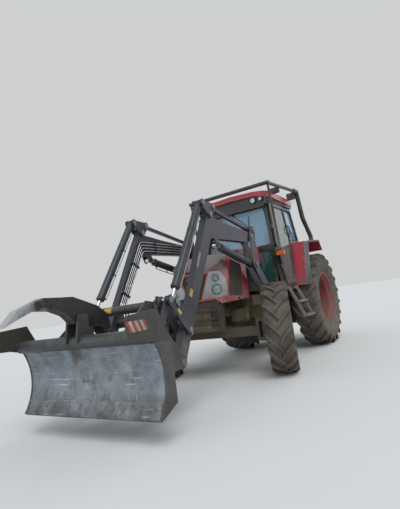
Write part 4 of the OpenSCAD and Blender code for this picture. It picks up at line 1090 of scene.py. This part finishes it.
# cylinder, its body, root and eye pins, places across, tube radius, its start, what the rod shows, rod radius
claw_foot, claw_root = (1.985, 0.400), (1.965, 0.900)
arms = (-arm_x, arm_x)
for name, body, root, eye, middles, r, start, shown, rod_r in (
    ("tilt_cylinder", "tilt_barrels", pins["K"], pins["R"], arms, 0.044, 0.030, 0.165, 0.018),
    ("lift_cylinder", "lift_barrels", pins["G"], pins["H"], arms, 0.046, 0.030, 0.110, 0.022),
    ("claw_cylinder", "claw_barrel", claw_foot, claw_root, (0.0,), 0.034, 0.025, 0.110, 0.018),
):
    cylinder_dress(name, body, root, eye, middles, r, start, math.dist(root, eye) - shown, rod_r)
# pins that run right through the rods' eyes
for name, body, eye, middles, half in (
    ("tilt_eye_pins", "tilt_rods", pins["R"], arms, 0.026),
    ("claw_eye_pin", "claw_rod", claw_root, (0.0,), 0.024),
):
    shape = bmesh.new()
    for middle in middles:
        bar(shape, side(eye[0], eye[1], middle - half), side(eye[0], eye[1], middle + half), 0.0195, 28)
    new_piece(name, shape, worn_steel, body, 0.001, 40)


# Blade and claw
# Thick rolled blade, scraped bright and scratched by stones, with a bolted wearing edge and ribs on its back.
# Its dark top tube and end plates are weathered; the forged black claw has a polished tip and turns on a pin.
dried_soil = (0.075, 0.066, 0.055)
blade_steel = weathered("blade_steel", (0.23, 0.27, 0.32), (0.36, 0.41, 0.46), dried_soil, 0.50, 0.20, 0.55,
                        (0.30, 0.55), metal=0.45, edge=(0.62, 0.63, 0.65), edge_width=0.010, patch=3.0,
                        relief=0.0025)


def long_scratches(tree):
    # fine bright scores that run mostly along the blade
    across = speckle(tree, 9.0, 8.0, (0.25, 1.0, 5.0), 0.75)
    upright = speckle(tree, 7.0, 8.0, (4.0, 1.0, 0.5), 0.75)
    both = calc(tree, "MAXIMUM", ramp(tree, across, 0.60, 0.66), ramp(tree, upright, 0.63, 0.68))
    return calc(tree, "MULTIPLY", both, ramp(tree, speckle(tree, 2.2, 3.0), 0.40, 0.60))


def rust_patches(tree):
    return ramp(tree, speckle(tree, 2.6, 7.0, (1.0, 1.0, 0.7), 0.7), 0.55, 0.66)


def end_plates(tree):
    across = shader_node(tree, "Math", {0: axis_value(tree, "X")}, operation="ABSOLUTE").outputs[0]
    return ramp(tree, across, 0.8346, 0.8349)


def top_part(tree):
    return ramp(tree, axis_value(tree, "Z"), 0.782, 0.800)


overlay(blade_steel, rust_patches, (0.070, 0.058, 0.046), 0.8)
overlay(blade_steel, long_scratches, (0.66, 0.70, 0.74), 0.85)
overlay(blade_steel, top_part, (0.042, 0.043, 0.038), 0.85)
overlay(blade_steel, end_plates, (0.060, 0.055, 0.045), 0.85)
nodes["blade"].data.materials[0] = blade_steel
soften(nodes["blade"], 0.005, 2)

frame_steel = weathered("frame_steel", (0.032, 0.036, 0.042), (0.06, 0.064, 0.07), forest_mud, 0.9, 0.2, 0.45,
                        (0.4, 0.65), edge=(0.30, 0.30, 0.31), edge_width=0.006)
nodes["tool_frame"].data.materials[0] = frame_steel
nodes["tool_pins"].data.materials[0] = frame_steel
claw_steel = weathered("claw_steel", (0.016, 0.016, 0.017), (0.030, 0.029, 0.028), forest_mud, 1.0, 0.5, 0.22,
                       (0.35, 0.6), metal=0.3, edge=(0.32, 0.32, 0.33), edge_width=0.010, relief=0.002)


def claw_tip(tree):
    # the tip is worn bright, with a ragged border
    worn = slope(tree, slope(tree, 0.0, axis_value(tree, "Y"), -1.0), speckle(tree, 9.0, 5.0), 0.5)
    return ramp(tree, worn, 3.18, 3.36)


overlay(claw_steel, claw_tip, (0.40, 0.41, 0.43), 0.9)
nodes["claw"].data.materials[0] = claw_steel
soften(nodes["claw"], 0.012, 4)

# the blade's section is an arc about this point, forward and up
centre_f, centre_z = 2.745, 0.532
face_r = 0.5285
edge_thick = 0.012
edge_tilt = math.radians(29)


def blade_arc(r, start, step, count):
    # points at one radius of the blade's section; angles in degrees
    angles = [math.radians(start - step * i) for i in range(count)]
    return [(centre_f + r * math.cos(a), centre_z + r * math.sin(a)) for a in angles]


back_line = blade_arc(face_r + 0.001, 216.6, 3.0, 6)
front_line = [(f + edge_thick * math.cos(edge_tilt), z + edge_thick * math.sin(edge_tilt))
              for f, z in blade_arc(face_r, 216.6, 3.0, 6)]
shape = bmesh.new()
heads = bmesh.new()
for i in range(5):
    x0 = -0.826 + 0.3308 * i
    plate(shape, back_line + front_line[::-1], x0, x0 + 0.3288)
    for x in (x0 + 0.06, x0 + 0.27):
        spot = side(front_line[3][0], front_line[3][1], x)
        bar(heads, spot, spot + 0.004 * Vector((0, -math.cos(edge_tilt), math.sin(edge_tilt))), 0.016, 20)
new_piece("wearing_edge", shape, blade_steel, "tool", 0.0025)
new_piece("wearing_edge_bolts", heads, worn_steel, "tool", 0.001, 40)

# ribs on the blade's back, and weld seams under the top tube
shape = bmesh.new()
seams = bmesh.new()
for s in (-1, 1):
    for x in (0.18, 0.70):
        inner = blade_arc(0.545, 207, 7.5, 9)
        outer = blade_arc(0.600, 207, 7.5, 9)
        for k in (0, -1):
            outer[k] = (inner[k][0] - 0.012, inner[k][1])
        plate(shape, inner + outer[::-1], s * x - 0.007, s * x + 0.007)
    bar(seams, side(2.302, 0.797, s * 0.02), side(2.302, 0.797, s * 0.828), 0.007, 8)
new_piece("blade_ribs", shape, frame_steel, "tool", 0.002)
new_piece("blade_welds", seams, frame_steel, "tool", smooth=60)

# red and white warning bands painted on both horns, and a yellow band on the frame's upper tube
sign_red = weathered("sign_red", (0.42, 0.035, 0.03), (0.22, 0.04, 0.035), forest_mud, 0.6, 0.2, 0.65,
                     (0.4, 0.6))
sign_white = weathered("sign_white", (0.50, 0.48, 0.44), (0.30, 0.285, 0.26), forest_mud, 0.6, 0.2, 0.7,
                       (0.4, 0.6))
sign_yellow = weathered("sign_yellow", (0.55, 0.42, 0.05), (0.40, 0.33, 0.07), forest_mud, 0.6, 0.2, 0.45,
                        (0.4, 0.6))
band_wide = 0.030
band_slant = 0.035
red_bands = bmesh.new()
white_bands = bmesh.new()
for s in (-1, 1):
    for i in range(7):
        f = 2.35 + band_wide * i
        outline = [(f, 0.905), (f + band_wide, 0.905), (f + band_wide + band_slant, 0.985),
                   (f + band_slant, 0.985)]
        plate(white_bands if i % 2 else red_bands, outline, s * 0.8552, s * 0.8562)
new_piece("horn_red_bands", red_bands, sign_red, "tool")
new_piece("horn_white_bands", white_bands, sign_white, "tool")
tube_f, tube_z, tube_r = 1.800, 1.075, 0.0455
shape = bmesh.new()
for x in (-0.26, -0.13):
    for i in range(8):
        corners = []
        for r, angle in ((tube_r, i), (tube_r, i + 1), (tube_r + 0.001, i + 1), (tube_r + 0.001, i)):
            a = math.radians(-20 + 25 * angle)
            corners.append((tube_f + r * math.cos(a), tube_z + r * math.sin(a)))
        plate(shape, corners, x, x + 0.10)
bmesh.ops.remove_doubles(shape, verts=shape.verts, dist=0.00001)
new_piece("frame_yellow_band", shape, sign_yellow, "tool")

# small plain labels on the left arm and lever: centre, direction, length, width and the face they lie on
faint_decal = weathered("faint_decal", (0.24, 0.24, 0.25), (0.16, 0.16, 0.17), dry_dust, 1.2, 0.4, 0.4,
                        (0.4, 0.6))
for name, material, body, centre, way, length, width, x in (
    ("yellow_label", sign_yellow, "booms", (1.295, 1.150), (0.52, -0.854), 0.085, 0.050, 0.5752),
    ("lever_label", sign_yellow, "levers", (1.585, 0.985), (0.26, 0.32), 0.070, 0.035, 0.6092),
    ("arm_decal", faint_decal, "booms", (1.060, 1.500), (0.52, -0.854), 0.20, 0.034, 0.5752),
):
    shape = bmesh.new()
    middle = side(*centre)
    reach = Vector((0, -way[0], way[1])).normalized() * length / 2
    plate(shape, strip(middle - reach, middle + reach, width / 2), x, x + 0.0008)
    new_piece(name, shape, material, body)


# Winch and log plate
# A two-drum cable winch in a plate housing is bolted behind the rear axle, with rollers over its drums.
# The welded log plate below it is scraped by the logs, and its teeth hold the machine while it winches.
for name in ("winch", "log_plate", "drum_l", "drum_r"):
    soften(nodes[name], 0.004, 2)
winch_paint = weathered("winch_paint", (0.030, 0.032, 0.036), (0.055, 0.056, 0.06), forest_mud, 1.2, 0.4, 0.4,
                        (0.35, 0.6), edge=(0.28, 0.27, 0.26))
nodes["winch"].data.materials[0] = winch_paint
log_steel = weathered("log_steel", (0.10, 0.09, 0.08), (0.18, 0.165, 0.15), forest_mud, 1.0, 0.3, 0.55,
                      (0.4, 0.65), metal=0.4, edge=(0.45, 0.44, 0.43), edge_width=0.008, relief=0.002)
nodes["log_plate"].data.materials[0] = log_steel
rope_steel = weathered("rope_steel", (0.20, 0.19, 0.18), (0.30, 0.29, 0.27), oily_dust, 1.2, 0.4, 0.4,
                       (0.35, 0.55), metal=0.7, relief=0.0006)
drum_f, drum_z, drum_x = -2.990, 0.900, 0.215
wound_r = 0.1575
rope_r = 0.0072
turns, per_turn = 20, 24
winding = 0.321
for s, body in ((1, "drum_l"), (-1, "drum_r")):
    # one layer of steel rope lies on the drum as a single winding, with both ends tucked under the flanges
    shape = bmesh.new()
    axis = side(drum_f, drum_z, s * drum_x)
    line = []
    for i in range(turns * per_turn + 1):
        t = i / (turns * per_turn)
        a = 2 * math.pi * i / per_turn
        line.append(axis + Vector((winding * (t - 0.5), wound_r * math.cos(a), wound_r * math.sin(a))))
    pipe(shape, line, rope_r, 6)
    for flange in (-1, 1):
        for c, d in around(6):
            spot = axis + Vector((flange * 0.1835, 0.18 * c, 0.18 * d))
            hex_head(shape, spot, Vector((flange, 0, 0)), 0.010, 0.007)
    new_piece("winch_rope_" + body[-1], shape, rope_steel, body, smooth=60)
cheek_x = 0.4302
roller_cheek = [(-3.30, 1.262), (-3.42, 1.262), (-3.42, 1.330), (-3.40, 1.365), (-3.34, 1.365),
                (-3.30, 1.330)]
shape = bmesh.new()
rollers = bmesh.new()
for s in (-1, 1):
    # bearing caps and housing bolts
    turned(shape, [(0.048, 0.0), (0.095, 0.0), (0.095, 0.010), (0.080, 0.018), (0.048, 0.018)],
           toward(s * cheek_x, drum_f, drum_z, (s, 0, 0)), 40)
    for c, d in around(6):
        spot = side(drum_f - 0.072 * c, drum_z + 0.072 * d, s * (cheek_x + 0.015))
        hex_head(shape, spot, Vector((s, 0, 0)), 0.009, 0.008)
    for f in (-2.70, -2.86, -3.12, -3.30, -3.40):
        for z in (0.60, 1.22):
            hex_head(shape, side(f, z, s * cheek_x), Vector((s, 0, 0)), 0.010, 0.008)
    # upper roller between two cheeks on each half
    for x in (0.07, 0.36):
        plate(shape, roller_cheek, s * x - 0.006, s * x + 0.006)
    block(shape, (s * 0.05, -3.285, 1.2605), (s * 0.43, -3.439, 1.2695))
    bar(rollers, side(-3.37, 1.325, s * 0.078), side(-3.37, 1.325, s * 0.352), 0.028, 32)
    bar(rollers, side(-3.37, 1.325, s * 0.058), side(-3.37, 1.325, s * 0.372), 0.012, 16)
new_piece("winch_fittings", shape, winch_paint, "chassis", 0.0015, 40)
new_piece("winch_rollers", rollers, worn_steel, "chassis", 0.002, 40)
plate_back = -3.4602
rib = [(plate_back, 0.34), (plate_back, 0.96), (-3.472, 0.95), (-3.490, 0.90), (-3.490, 0.38), (-3.472, 0.34)]
tooth = [(plate_back, 0.345), (plate_back, 0.305), (-3.478, 0.300), (-3.478, 0.345)]
shape = bmesh.new()
for x in (-0.72, -0.50, -0.28, 0.28, 0.50, 0.72):
    plate(shape, rib, x - 0.008, x + 0.008)
for i in range(10):
    x = -0.63 + 0.14 * i
    plate(shape, tooth, x - 0.030, x + 0.030)
block(shape, (-0.76, plate_back, 0.970), (0.76, -3.486, 0.9995))
new_piece("log_plate_ribs", shape, log_steel, "chassis", 0.002)
